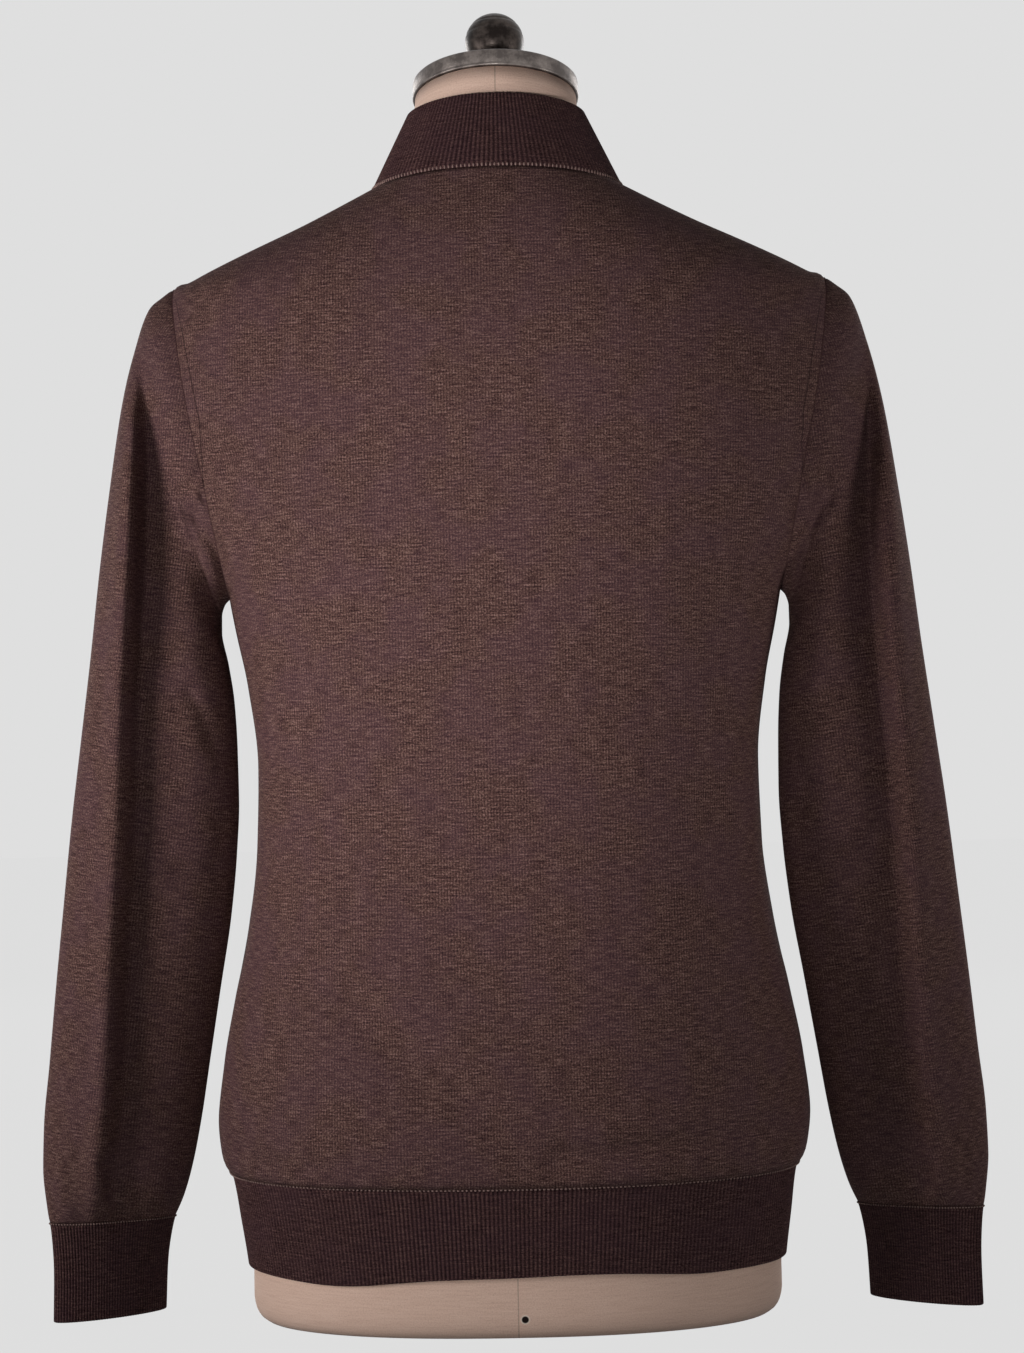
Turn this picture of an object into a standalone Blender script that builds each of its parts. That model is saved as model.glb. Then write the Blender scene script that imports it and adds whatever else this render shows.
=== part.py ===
"""A full-zip knitted sweater, worn by a limbless dress form.

Frame: metres, +Z up, origin at the centre of the form's flat underside. The zip faces -Y
and the wearer's left is +X. Sizes in the tables are millimetres.

The sweater's outer surface is a stack of rounded sections, from the hem to the neckline,
with the collar above it. Each cloth piece is a wall between its outer points and the same
points moved in along the surface's normal. Sewn pieces stand a small seam gap apart.
"""
from collections import namedtuple
from math import acos, asin, copysign, cos, exp, hypot, pi, radians, sin, tan

import bmesh
import bpy
from mathutils import Matrix, Vector

MM = 0.001

# Walls and gaps
JERSEY_WALL = 1.6
RIB_WALL = 2.4
COLLAR_WALL = 3.0
SEAM_GAP = 0.4
SEAT_GAP = 0.35
ARMHOLE_GAP = 0.5

# Heights of the main lines, at the side of the body
HEM_BOTTOM = 34.0
HEM_TOP = 91.6
BODY_FOOT = 92.0
LEVEL_BELOW = 110.0
ARMPIT = 450.0
SHOULDER_TIP = 641.0
NECKLINE = 703.0
ARMHOLE_HALF_DEPTH = 58.0
NECK_BACK_RISE = 6.0
NECK_FRONT_DROP = 21.0
HEM_BACK_RISE = 3.0
ROUNDNESS = 2.3

# The sweater's outer surface: the side edge (side seam, armhole seam, then shoulder ridge)
BodyRow = namedtuple("BodyRow", "height edge_x back_depth front_depth")
BODY = (
    BodyRow(34, 168.5, 108, 112),
    BodyRow(60, 171.2, 110, 113),
    BodyRow(91.6, 173.9, 112, 114),
    BodyRow(92, 175.5, 114, 116),
    BodyRow(104, 181.0, 119, 118),
    BodyRow(128, 184.5, 123, 119),
    BodyRow(160, 181.5, 123, 118),
    BodyRow(200, 174.0, 119, 116),
    BodyRow(245, 165.0, 112, 114),
    BodyRow(295, 158.5, 105, 113),
    BodyRow(345, 157.0, 101, 115),
    BodyRow(395, 162.5, 101, 120),
    BodyRow(430, 169.5, 103, 123),
    BodyRow(450, 173.0, 105, 125),
    BodyRow(478, 177.0, 107, 127),
    BodyRow(520, 184.0, 109, 127),
    BodyRow(570, 193.5, 110, 123),
    BodyRow(613, 200.5, 107, 116),
    BodyRow(641, 204.0, 101, 108),
    BodyRow(660, 169.5, 95, 100),
    BodyRow(680, 125.5, 86, 90),
    BodyRow(703, 79.0, 73, 78),
)

# Largest folds of the body cloth, each a trough between two points seen from one face
Fold = namedtuple("Fold", "face x0 z0 x1 z1 half_width depth")
FOLDS = (
    Fold("back", 162, 548, 178, 492, 11, 5.0),
    Fold("back", -164, 545, -179, 496, 10, 4.0),
    Fold("back", 86, 186, -10, 112, 20, 4.5),
    Fold("back", -34, 112, -148, 120, 10, 3.5),
    Fold("back", 172, 118, 140, 108, 9, 3.0),
    Fold("front", 150, 530, 172, 486, 11, 4.5),
    Fold("front", -152, 534, -173, 488, 11, 4.5),
    Fold("front", 126, 202, 68, 142, 16, 4.0),
    Fold("front", -118, 190, -70, 138, 16, 4.0),
)

# The stand collar's top edge, and the form's neck under its cap
COLLAR_TOP_HALF_WIDTH = 55.0
COLLAR_TOP_BACK = 51.0
COLLAR_TOP_FRONT = 66.0
COLLAR_TOP_SIDE_Z = 752.0
COLLAR_TOP_BACK_Z = 758.0
COLLAR_TOP_FRONT_Z = 736.0
COLLAR_FOOT_SHARE = 0.009

# The sleeve's rings: the outer and inner ends of each, its half-depths, and its long valley
SleeveRow = namedtuple(
    "SleeveRow",
    "along outer_x outer_y outer_z inner_x inner_y inner_z back front share valley",
)
SLEEVE = (
    SleeveRow(0, 204.0, 0, 641, 173.0, 0, 450, 58, 58, 0.90, 0),
    SleeveRow(20, 218.5, 0, 634, 176.5, 0, 446, 61, 60, 0.88, 0),
    SleeveRow(45, 230.0, 0, 606, 178.5, 0, 438.5, 61, 59, 0.84, 2),
    SleeveRow(80, 238.5, 1, 572, 178.5, 0, 428, 57, 56, 0.78, 5),
    SleeveRow(120, 246.7, 3, 522, 174.5, 1, 408, 53, 52, 0.72, 8),
    SleeveRow(170, 254.0, 5, 470, 171.2, 2, 384, 49, 48, 0.67, 10),
    SleeveRow(220, 260.5, 8, 415, 169.8, 3, 356, 46, 44, 0.63, 11),
    SleeveRow(270, 267.2, 11, 363, 169.5, 3, 324, 43.5, 41, 0.61, 12),
    SleeveRow(320, 273.7, 14, 312, 171.5, 3, 290, 41, 38, 0.58, 12),
    SleeveRow(370, 279.2, 18, 260, 176.0, 3, 250, 39, 36, 0.56, 12),
    SleeveRow(420, 284.2, 22, 211, 183.5, 2, 207, 37, 34, 0.53, 12),
    SleeveRow(470, 288.6, 26, 163, 191.0, 2, 163, 35.5, 32, 0.50, 12),
    SleeveRow(510, 292.0, 31, 124, 198.0, 0, 124, 33, 30, 0.47, 11),
    SleeveRow(535, 292.5, 34, 98, 203.5, 0, 98, 30, 27, 0.45, 8),
    SleeveRow(555, 290.5, 36, 77, 209.5, 0, 77, 23, 21, 0.45, 3),
    SleeveRow(568, 288.5, 37.5, 65.4, 215.0, 0, 63.9, 14, 14, 0.45, 0),
    SleeveRow(569, 288.3, 37.5, 65.0, 215.2, 0, 63.5, 13.8, 13.8, 0.45, 0),
    SleeveRow(596, 286.3, 38, 36, 220.5, -1, 36, 12, 12, 0.45, 0),
    SleeveRow(629, 287.0, 38.5, 3.8, 222.3, -1.5, 4.8, 12, 12, 0.45, 0),
)
SLEEVE_END = 568.0
CUFF_START = 569.0
CUFF_END = 629.0
CUFF_KNEE_SHARE = 0.45
VALLEY_OUTER_SPREAD = 0.30
VALLEY_INNER_SPREAD = 0.62
FRONT_VALLEY_SHARE = 0.5
FRONT_VALLEY_RATIO = 0.55
SLEEVE_BLEND_LENGTH = 60.0

# Ribs, drawn at every second real rib so that each keeps its own faces
HEM_RIB_PITCH = 5.14
COLLAR_RIB_PITCH = 5.14
CUFF_RIB_PITCH = 3.6
RIB_RELIEF = 0.35
STEPS_PER_INNER_POINT = 5
LEAST_INNER_POINTS = 8

# The zip
TAPE_SLOT = 2.8
TAPE_WIDTH = 12.0
TAPE_WALL = 0.9
TAPE_GAP = 0.6
TAPE_HEM_SHARES = (0.02, 1)
TAPE_COLLAR_SHARES = (0, 0.3, 0.97)
FRONT_EDGE_X = 6.5

# The dress form: how far its surface lies inside the sweater's outer surface
FormRow = namedtuple("FormRow", "height inset")
FORM = (
    FormRow(0, 10.4),
    FormRow(2.5, 6.8),
    FormRow(7, 4.2),
    FormRow(14, 2.9),
    FormRow(34, 3.1),
    FormRow(60, 3.5),
    FormRow(88, 3.9),
    FormRow(128, 7.6),
    FormRow(160, 7.2),
    FormRow(200, 6.4),
    FormRow(245, 6.0),
    FormRow(295, 6.0),
    FormRow(345, 6.0),
    FormRow(395, 6.2),
    FormRow(450, 7.6),
    FormRow(520, 8.4),
    FormRow(570, 6.4),
    FormRow(613, 4.6),
    FormRow(641, 3.4),
    FormRow(660, 2.6),
    FormRow(680, 2.2),
    FormRow(703, 3.5),
)
FORM_FRONT_RELIEF = 5.0
NECK_SHARES = (0.35, 0.7, 1.0)
COLLAR_SEAT = 0.9
FORM_PLATE_LOW_X = 168.0
FORM_PLATE_HIGH_X = 198.0
FORM_PLATE_SOFTNESS = 12.0
NECK_TILT = radians(15)
NECK_CENTRE_Y = -6.0
NECK_TOP_RADIUS = 50.8
NECK_TOP_Z = 762.0

# The neck cap and its turned knob: radius and height, up the outer side
CAP_RADIUS = 52.4
CAP_RIM = 11.6
CAP_DOME = 2.6
CAP_DOME_RADIUS = 48.7
CAP_EDGE_ROUND = 1.2
CAP_FOOT_ROUND = 1.0
KNOB_FOOT_RADIUS = 10.5
KNOB_FOOT_HEIGHT = 1.2
KNOB_STEM_RADIUS = 7.5
KNOB_STEM_FOOT = 3.4
KNOB_BALL_RADIUS = 18.7
KNOB_BALL_HEIGHT = 24.5

# Mesh counts
PANEL_COLUMNS = 18
ARMHOLE_ROWS = 12
YOKE_ROWS = 5
LOWER_ROWS = (BODY_FOOT, 103, 118, 142, 176, 215, 262, 318, 372, 418)
SLEEVE_RINGS = 21
SLEEVE_RING_CROWDING = 1.1
FORM_COLUMNS = 32
TURNED_STEPS = 36
DOME_STEPS = 3
BALL_STEPS = 9
PULL_END_STEPS = 6
RIB_SAMPLES = 400

# Small steps over which a surface's slopes are measured
HEIGHT_STEP = 0.5
TURN_STEP = 0.004
SHARE_STEP = 0.02
SLEEVE_STEP = 4.0
SLEEVE_TURN_STEP = 0.05


# ---- tables and curves ------------------------------------------------------------------

def power(value, exponent):
    """Signed power, which keeps a superellipse's four quarters alike."""
    return copysign(abs(value) ** exponent, value)


def slope_at(keys, values, i):
    """Slope of a smooth curve at one of its knots, which never overshoots."""
    if i in (0, len(keys) - 1):
        j = min(i, len(keys) - 2)
        return (values[j + 1] - values[j]) / (keys[j + 1] - keys[j])
    before = (values[i] - values[i - 1]) / (keys[i] - keys[i - 1])
    after = (values[i + 1] - values[i]) / (keys[i + 1] - keys[i])
    if before * after <= 0:
        return 0.0
    return 2 * before * after / (before + after)


def read(table, column, key):
    """Smooth value of a table's column, keyed by the table's first column."""
    keys = [row[0] for row in table]
    values = [getattr(row, column) for row in table]
    key = min(max(key, keys[0]), keys[-1])
    i = max(k for k in range(len(keys) - 1) if keys[k] <= key)
    span = keys[i + 1] - keys[i]
    t = (key - keys[i]) / span
    start = slope_at(keys, values, i) * span
    end = slope_at(keys, values, i + 1) * span
    return (
        (2 * t**3 - 3 * t**2 + 1) * values[i]
        + (t**3 - 2 * t**2 + t) * start
        + (3 * t**2 - 2 * t**3) * values[i + 1]
        + (t**3 - t**2) * end
    )


# ---- the sweater's surface --------------------------------------------------------------

def edge_y(height):
    """Half-depth of the armhole at a height, and half a seam gap above and below it."""
    reach = (height - ARMPIT) / (SHOULDER_TIP - ARMPIT)
    if not 0 < reach < 1:
        return SEAM_GAP / 2
    return max(SEAM_GAP / 2, ARMHOLE_HALF_DEPTH * sin(acos(1 - 2 * reach)))


def side_depth(height, turn):
    """Depth of the section on the side of the body that a turn looks to."""
    return read(BODY, "back_depth" if sin(turn) >= 0 else "front_depth", height)


def body_surface(height, turn):
    """Point of the smooth outer surface. A turn runs from +X round by the back."""
    depth = side_depth(height, turn)
    edge_share = (edge_y(height) / depth) ** ROUNDNESS
    half_width = read(BODY, "edge_x", height) / (1 - edge_share) ** (1 / ROUNDNESS)
    yoke = max(0.0, (height - SHOULDER_TIP) / (NECKLINE - SHOULDER_TIP))
    lift = NECK_BACK_RISE if sin(turn) >= 0 else -NECK_FRONT_DROP
    return Vector((
        half_width * power(cos(turn), 2 / ROUNDNESS),
        depth * power(sin(turn), 2 / ROUNDNESS),
        height + yoke * lift * sin(turn) ** 2,
    ))


def body_normal(height, turn):
    """Outward normal of the smooth surface, level where the cloth hangs into the hem."""
    along = body_surface(height + HEIGHT_STEP, turn) - body_surface(height - HEIGHT_STEP, turn)
    around = body_surface(height, turn + TURN_STEP) - body_surface(height, turn - TURN_STEP)
    normal = around.cross(along)
    if height < LEVEL_BELOW:
        normal.z = 0
    return normal.normalized()


def fold_sink(point):
    """How far the folds draw the cloth in at a point."""
    sink = 0.0
    for fold in FOLDS:
        if (point.y >= 0) != (fold.face == "back"):
            continue
        run_x, run_z = fold.x1 - fold.x0, fold.z1 - fold.z0
        t = ((point.x - fold.x0) * run_x + (point.z - fold.z0) * run_z) / (run_x**2 + run_z**2)
        t = min(max(t, 0.0), 1.0)
        away = hypot(point.x - fold.x0 - t * run_x, point.z - fold.z0 - t * run_z)
        sink += fold.depth * exp(-((away / fold.half_width) ** 2))
    return sink


def edge_turn(height, back):
    """Turn at which a panel ends, at the seam on the wearer's left."""
    depth = read(BODY, "back_depth" if back else "front_depth", height)
    turn = asin((edge_y(height) / depth) ** (ROUNDNESS / 2))
    return turn if back else -turn


def turn_beside(half_width, x):
    """Turn at which a section stands at a small distance x from the zip's middle."""
    return -acos((x / half_width) ** (ROUNDNESS / 2))


def centre_turn(height, x):
    """Turn at which the front's surface stands at a small distance from the zip."""
    depth = read(BODY, "front_depth", height)
    edge_share = (edge_y(height) / depth) ** ROUNDNESS
    half_width = read(BODY, "edge_x", height) / (1 - edge_share) ** (1 / ROUNDNESS)
    return turn_beside(half_width, x)


def collar_centre_turn(share, x):
    """The same on the collar, at a share of its height."""
    foot = read(BODY, "edge_x", NECKLINE)
    return turn_beside(foot + (COLLAR_TOP_HALF_WIDTH - foot) * share, x)


def collar_surface(share, turn):
    """Point of the collar's outer surface, from the neckline (0) to the top edge (1)."""
    foot = body_surface(NECKLINE, turn)
    back = sin(turn) >= 0
    depth = COLLAR_TOP_BACK if back else COLLAR_TOP_FRONT
    rise = (COLLAR_TOP_BACK_Z if back else COLLAR_TOP_FRONT_Z) - COLLAR_TOP_SIDE_Z
    top = Vector((
        COLLAR_TOP_HALF_WIDTH * power(cos(turn), 2 / ROUNDNESS),
        depth * power(sin(turn), 2 / ROUNDNESS),
        COLLAR_TOP_SIDE_Z + rise * sin(turn) ** 2,
    ))
    return foot.lerp(top, share)


def collar_normal(share, turn):
    """Outward normal of the collar."""
    along = collar_surface(share + SHARE_STEP, turn) - collar_surface(share - SHARE_STEP, turn)
    around = collar_surface(share, turn + TURN_STEP) - collar_surface(share, turn - TURN_STEP)
    return around.cross(along).normalized()


def neckline_normal(turn):
    """The direction shared by the body's top edge and the collar's foot."""
    below = body_normal(NECKLINE - HEIGHT_STEP, turn)
    above = collar_normal(SHARE_STEP, turn)
    return (below + above).normalized()


def armhole_direction(height, back):
    """The direction shared by a panel's armhole edge and the sleeve's first ring."""
    reach = min(max((height - ARMPIT) / (SHOULDER_TIP - ARMPIT), 0.0), 1.0)
    round_turn = acos(1 - 2 * reach)
    outward = Vector((0, sin(round_turn) * (1 if back else -1), -cos(round_turn)))
    return (body_normal(height, edge_turn(height, back)) + outward).normalized()


# ---- making meshes ----------------------------------------------------------------------

def material(name, colour, roughness, metallic=0.0):
    """Principled material in one colour."""
    made = bpy.data.materials.new(name)
    made.use_nodes = True
    shader = made.node_tree.nodes["Principled BSDF"]
    shader.inputs["Base Color"].default_value = (*colour, 1)
    shader.inputs["Roughness"].default_value = roughness
    shader.inputs["Metallic"].default_value = metallic
    made.diffuse_color = (*colour, 1)
    return made


def finish(name, bm, finish_material, collection):
    """Turn a closed bmesh, in millimetres, into the named object."""
    bmesh.ops.scale(bm, vec=(MM, MM, MM), verts=bm.verts)
    bmesh.ops.recalc_face_normals(bm, faces=bm.faces)
    if bm.calc_volume(signed=True) < 0:
        bmesh.ops.reverse_faces(bm, faces=bm.faces)
    mesh = bpy.data.meshes.new(name)
    bm.to_mesh(mesh)
    bm.free()
    mesh.materials.append(finish_material)
    made = bpy.data.objects.new(name, mesh)
    collection.objects.link(made)
    return made


def mirror_points(rows):
    """The same points on the wearer's other side."""
    return [[Vector((-p.x, p.y, p.z)) for p in row] for row in rows]


def patch(bm, low, high, closed):
    """Faces between two rows of equal length, all split along the same diagonal."""
    count = len(low) if closed else len(low) - 1
    for i in range(count):
        j = (i + 1) % len(low)
        bm.faces.new((low[i], low[j], high[j]))
        bm.faces.new((low[i], high[j], high[i]))


def rim(bm, many, few, closed):
    """Faces of an edge strip between an outer row of many points and an inner one of few."""
    spans = len(many) if closed else len(many) - 1
    steps = len(few) if closed else len(few) - 1
    reached = 0
    for i in range(spans):
        here, following = many[i], many[(i + 1) % len(many)]
        bm.faces.new((here, following, few[reached % len(few)]))
        if (i + 1) * steps >= (reached + 0.5) * spans:
            bm.faces.new((following, few[(reached + 1) % len(few)], few[reached % len(few)]))
            reached += 1


def wall(outer, inner, closed=False):
    """Closed cloth wall between an outer and an inner sheet of points, given row by row."""
    bm = bmesh.new()
    sheets = [[[bm.verts.new(p) for p in row] for row in sheet] for sheet in (outer, inner)]
    for sheet in sheets:
        for low, high in zip(sheet, sheet[1:]):
            patch(bm, low, high, closed)
    outside, inside = sheets
    rim(bm, outside[0], inside[0], closed)
    rim(bm, outside[-1], inside[-1], closed)
    if not closed:
        for end in (0, -1):
            rim(bm, [row[end] for row in outside], [row[end] for row in inside], False)
    return bm


def inset(points, normals, depth):
    """Points moved in along their normals."""
    return [p - n * depth for p, n in zip(points, normals)]


# ---- the body's pieces ------------------------------------------------------------------

def panel_heights():
    """Heights of a panel's rows, close together at the armhole's two ends."""
    half = (SHOULDER_TIP - ARMPIT) / 2
    armhole = [ARMPIT + half * (1 - cos(pi * i / ARMHOLE_ROWS)) for i in range(ARMHOLE_ROWS + 1)]
    yoke = [
        SHOULDER_TIP + (NECKLINE - SHOULDER_TIP) * (i + 1) / YOKE_ROWS for i in range(YOKE_ROWS)
    ]
    return [*LOWER_ROWS, *armhole, *yoke]


def panel_point(height, turn):
    """Outer point of a body panel, drawn in by the folds."""
    point = body_surface(height, turn)
    if height <= BODY_FOOT:
        return point
    return point - body_normal(height, turn) * fold_sink(point)


def edge_normal(height, turn, back, at_seam):
    """Direction of a panel's thickness, which neighbours share along their seam."""
    if height == NECKLINE:
        return neckline_normal(turn)
    if at_seam and ARMPIT <= height <= SHOULDER_TIP:
        return armhole_direction(height, back)
    return body_normal(height, turn)


def back_panel():
    """The back, from side to side."""
    outer, inner = [], []
    for height in panel_heights():
        first = edge_turn(height, True)
        half = PANEL_COLUMNS // 2
        turns = [first + (pi / 2 - first) * i / half for i in range(half + 1)]
        points = [panel_point(height, turn) for turn in turns]
        normals = [edge_normal(height, turn, True, i == 0) for i, turn in enumerate(turns)]
        mirrored = [pi - turn for turn in reversed(turns[:-1])]
        points += [panel_point(height, turn) for turn in mirrored]
        normals += [Vector((-n.x, n.y, n.z)) for n in reversed(normals[:-1])]
        outer.append(points)
        inner.append(inset(points, normals, JERSEY_WALL))
    return wall(outer, inner)


def front_panel(side):
    """A front, from its side seam to the edge beside the zip. Side is 1 or -1."""
    outer, inner = [], []
    count = PANEL_COLUMNS // 2
    for height in panel_heights():
        first = edge_turn(height, False)
        last = centre_turn(height, FRONT_EDGE_X)
        turns = [first + (last - first) * i / count for i in range(count + 1)]
        normals = [edge_normal(height, turn, False, i == 0) for i, turn in enumerate(turns)]
        if side < 0:
            turns = [pi - turn for turn in turns]
            normals = [Vector((-n.x, n.y, n.z)) for n in normals]
        points = [panel_point(height, turn) for turn in turns]
        outer.append(points)
        inner.append(inset(points, normals, JERSEY_WALL))
    return wall(outer, inner)


def even_steps(first, last, count):
    """Evenly spaced values, both ends included."""
    return [first + (last - first) * i / count for i in range(count + 1)]


def hem_surface(share, turn):
    """Point of the hem band's outer surface, from its bottom edge (0) to its top (1)."""
    point = body_surface(HEM_BOTTOM + (HEM_TOP - HEM_BOTTOM) * share, turn)
    point.z += HEM_BACK_RISE * (1 - share) * max(0.0, sin(turn)) ** 2
    return point


def ribbed_band(surface, normal, turns, thickness, shares, closed=False):
    """Ribbed wall, with a row of points at each share of its height.

    One outer point stands on each rib and one in each groove. The inner sheet is plain, with
    one point for several outer ones.
    """
    steps = len(turns) if closed else len(turns) - 1
    inner_steps = max(LEAST_INNER_POINTS, steps // STEPS_PER_INNER_POINT)
    picks = range(inner_steps if closed else inner_steps + 1)
    inner_turns = [turns[round(i * steps / inner_steps)] for i in picks]
    outer, inner = [], []
    for share in shares:
        outer.append([
            surface(share, turn) + normal(share, turn) * (RIB_RELIEF if i % 2 else -RIB_RELIEF)
            for i, turn in enumerate(turns)
        ])
        inner.append([surface(share, t) - normal(share, t) * thickness for t in inner_turns])
    return wall(outer, inner, closed)


def even_turns(surface, share, first, last, pitch):
    """Turns that step along a band by half a rib, measured on its surface."""
    fine = even_steps(first, last, RIB_SAMPLES)
    points = [surface(share, turn) for turn in fine]
    reach = [0.0]
    for a, b in zip(points, points[1:]):
        reach.append(reach[-1] + (b - a).length)
    ribs = 2 * round(reach[-1] / pitch)
    turns, k = [], 0
    for i in range(ribs + 1):
        wanted = reach[-1] * i / ribs
        while k < len(reach) - 2 and reach[k + 1] < wanted:
            k += 1
        part = (wanted - reach[k]) / (reach[k + 1] - reach[k])
        turns.append(fine[k] + (fine[k + 1] - fine[k]) * part)
    return turns


def level_normal(_share, turn):
    """Level outward normal of the hem band."""
    return body_normal(HEM_TOP, turn)


def hem_length(first, last):
    """One length of the hem band, between two turns."""
    turns = even_turns(hem_surface, 0.5, first, last, HEM_RIB_PITCH)
    return ribbed_band(hem_surface, level_normal, turns, RIB_WALL, (0, 1))


def collar_turn(share, turn):
    """Open a turn out up the narrowing collar, so that its front edges stay parallel."""
    foot = collar_centre_turn(0, FRONT_EDGE_X)
    here = collar_centre_turn(share, FRONT_EDGE_X)
    return pi / 2 + (turn - pi / 2) * (pi / 2 - here) / (pi / 2 - foot)


def collar_band_surface(share, turn):
    """The collar's surface, its foot a seam gap above the neckline."""
    return collar_surface(
        COLLAR_FOOT_SHARE + (1 - COLLAR_FOOT_SHARE) * share, collar_turn(share, turn)
    )


def collar_band_normal(share, turn):
    """The collar's normal, shared with the body at the neckline."""
    if share == 0:
        return neckline_normal(turn)
    return collar_normal(share, collar_turn(share, turn))


def collar_band():
    """The stand collar, from one front edge round the back to the other."""
    first = collar_centre_turn(0, FRONT_EDGE_X)
    last = pi - first
    turns = even_turns(collar_band_surface, 0.5, first, last, COLLAR_RIB_PITCH)
    shares = (0, 0.5, 1)
    return ribbed_band(collar_band_surface, collar_band_normal, turns, COLLAR_WALL, shares)


# ---- sleeves ----------------------------------------------------------------------------

def armhole_point(turn):
    """Outer point of the armhole seam. A turn runs from the armpit round by the back."""
    height = ARMPIT + (SHOULDER_TIP - ARMPIT) * (1 - cos(turn)) / 2
    back = sin(turn) >= 0
    if abs(sin(turn)) < 1e-6:
        return panel_point(height, 0), armhole_direction(height, True)
    return panel_point(height, edge_turn(height, back)), armhole_direction(height, back)


def sleeve_ring_point(along, turn, valley=True):
    """Point of a sleeve ring, whose turn runs from its inner end round by the back."""
    row = {name: read(SLEEVE, name, along) for name in SleeveRow._fields[1:]}
    outer = Vector((row["outer_x"], row["outer_y"], row["outer_z"]))
    inner = Vector((row["inner_x"], row["inner_y"], row["inner_z"]))
    half = (outer - inner) / 2
    depth_way = Vector((-half.y, half.x, 0)).normalized()
    depth = row["back"] if sin(turn) >= 0 else row["front"]
    if valley:
        depth -= valley_sink(turn, row["share"], row["valley"])
    return (outer + inner) / 2 - half * cos(turn) + depth_way * depth * sin(turn)


def valley_sink(turn, share, depth):
    """How far the long valley lies below the sleeve's round form. Its outer side is steep."""
    back = sin(turn) >= 0
    centre = acos(1 - 2 * (share if back else FRONT_VALLEY_SHARE))
    away = acos(min(max(cos(turn), -1.0), 1.0)) - centre
    spread = VALLEY_OUTER_SPREAD if away > 0 else VALLEY_INNER_SPREAD
    size = depth if back else depth * FRONT_VALLEY_RATIO
    return size * exp(-((away / spread) ** 2))


def sleeve_point(along, turn, valley=True):
    """Outer point of the sleeve, drawn to the armhole seam near its first ring."""
    point = sleeve_ring_point(along, turn, valley)
    if along < SLEEVE_BLEND_LENGTH:
        seam, _ = armhole_point(turn)
        pull = (1 - along / SLEEVE_BLEND_LENGTH) ** 2
        point += (seam - sleeve_ring_point(0, turn)) * pull
    return point + Vector((ARMHOLE_GAP, 0, 0))


def sleeve_normal(along, turn):
    """Outward normal of the sleeve without its valley."""
    if along == 0:
        return armhole_point(turn)[1]
    reach = SLEEVE_STEP if along < SLEEVE_END else HEIGHT_STEP
    before = sleeve_point(max(0.0, along - reach), turn, False)
    ahead = sleeve_point(along + reach, turn, False) - before
    one_side = sleeve_point(along, turn - SLEEVE_TURN_STEP, False)
    around = sleeve_point(along, turn + SLEEVE_TURN_STEP, False) - one_side
    normal = around.cross(ahead)
    if along >= SLEEVE_END:
        normal.z = 0
    return normal.normalized()


def sleeve():
    """The wearer's left sleeve, from the armhole to the cuff."""
    turns = [pi * i / ARMHOLE_ROWS for i in range(2 * ARMHOLE_ROWS)]
    shares = even_steps(0, 1, SLEEVE_RINGS)
    stations = [SLEEVE_END * share**SLEEVE_RING_CROWDING for share in shares]
    outer, inner = [], []
    for along in stations:
        points = [sleeve_point(along, turn) for turn in turns]
        normals = [sleeve_normal(along, turn) for turn in turns]
        outer.append(points)
        inner.append(inset(points, normals, JERSEY_WALL))
    return outer, inner


def cuff_surface(share, turn):
    """Point of the cuff's outer surface, from the sleeve (0) to the hand (1)."""
    return sleeve_point(CUFF_START + (CUFF_END - CUFF_START) * share, turn, False)


def cuff_normal(share, turn):
    """Level outward normal of the cuff."""
    one_side = cuff_surface(share, turn - SLEEVE_TURN_STEP)
    around = cuff_surface(share, turn + SLEEVE_TURN_STEP) - one_side
    return around.cross(Vector((0, 0, -1))).normalized()


def cuff():
    """The wearer's left cuff."""
    turns = even_turns(cuff_surface, 0.5, 0, 2 * pi, CUFF_RIB_PITCH)[:-1]
    shares = (0, CUFF_KNEE_SHARE, 1)
    return ribbed_band(cuff_surface, cuff_normal, turns, RIB_WALL, shares, closed=True)


def flip(bm):
    """The same solid on the wearer's right."""
    bmesh.ops.scale(bm, vec=(-1, 1, 1), verts=bm.verts)
    return bm


# ---- the zip ----------------------------------------------------------------------------

def tape_rows():
    """Points down the zip: each the surface function at a distance x, its wall and normal."""
    rows = []
    for share in TAPE_HEM_SHARES:
        rows.append((lambda x, s=share: hem_surface(s, centre_turn(HEM_TOP, x)), RIB_WALL))
    for height in panel_heights()[1:-1]:
        rows.append((lambda x, h=height: body_surface(h, centre_turn(h, x)), JERSEY_WALL))
    for share in TAPE_COLLAR_SHARES:
        rows.append((lambda x, s=share: collar_surface(s, collar_centre_turn(s, x)), COLLAR_WALL))
    return rows


def tape(side):
    """One tape, behind the edge of its front. Side is 1 or -1."""
    rows = tape_rows()
    middle = [surface(FRONT_EDGE_X) for surface, _ in rows]
    outer, inner = [], []
    for i, (surface, panel_wall) in enumerate(rows):
        ahead = middle[min(i + 1, len(rows) - 1)] - middle[max(i - 1, 0)]
        normal = Vector((0, -ahead.z, ahead.y)).normalized()
        near_wall = max(panel_wall, rows[min(i + 1, len(rows) - 1)][1], rows[max(i - 1, 0)][1])
        points = []
        for share in (0, 0.5, 1):
            x = TAPE_SLOT + (TAPE_WIDTH - TAPE_SLOT) * share
            point = surface(x) - normal * (near_wall + TAPE_GAP)
            points.append(Vector((side * x, point.y, point.z)))
        outer.append(points)
        inner.append(inset(points, [normal] * 3, TAPE_WALL))
    return wall(outer, inner)


def box(size, centre):
    """Box of a size in millimetres, about a centre."""
    bm = bmesh.new()
    bmesh.ops.create_cube(bm, size=1)
    bmesh.ops.scale(bm, vec=size, verts=bm.verts)
    bmesh.ops.translate(bm, vec=centre, verts=bm.verts)
    return bm


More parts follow.
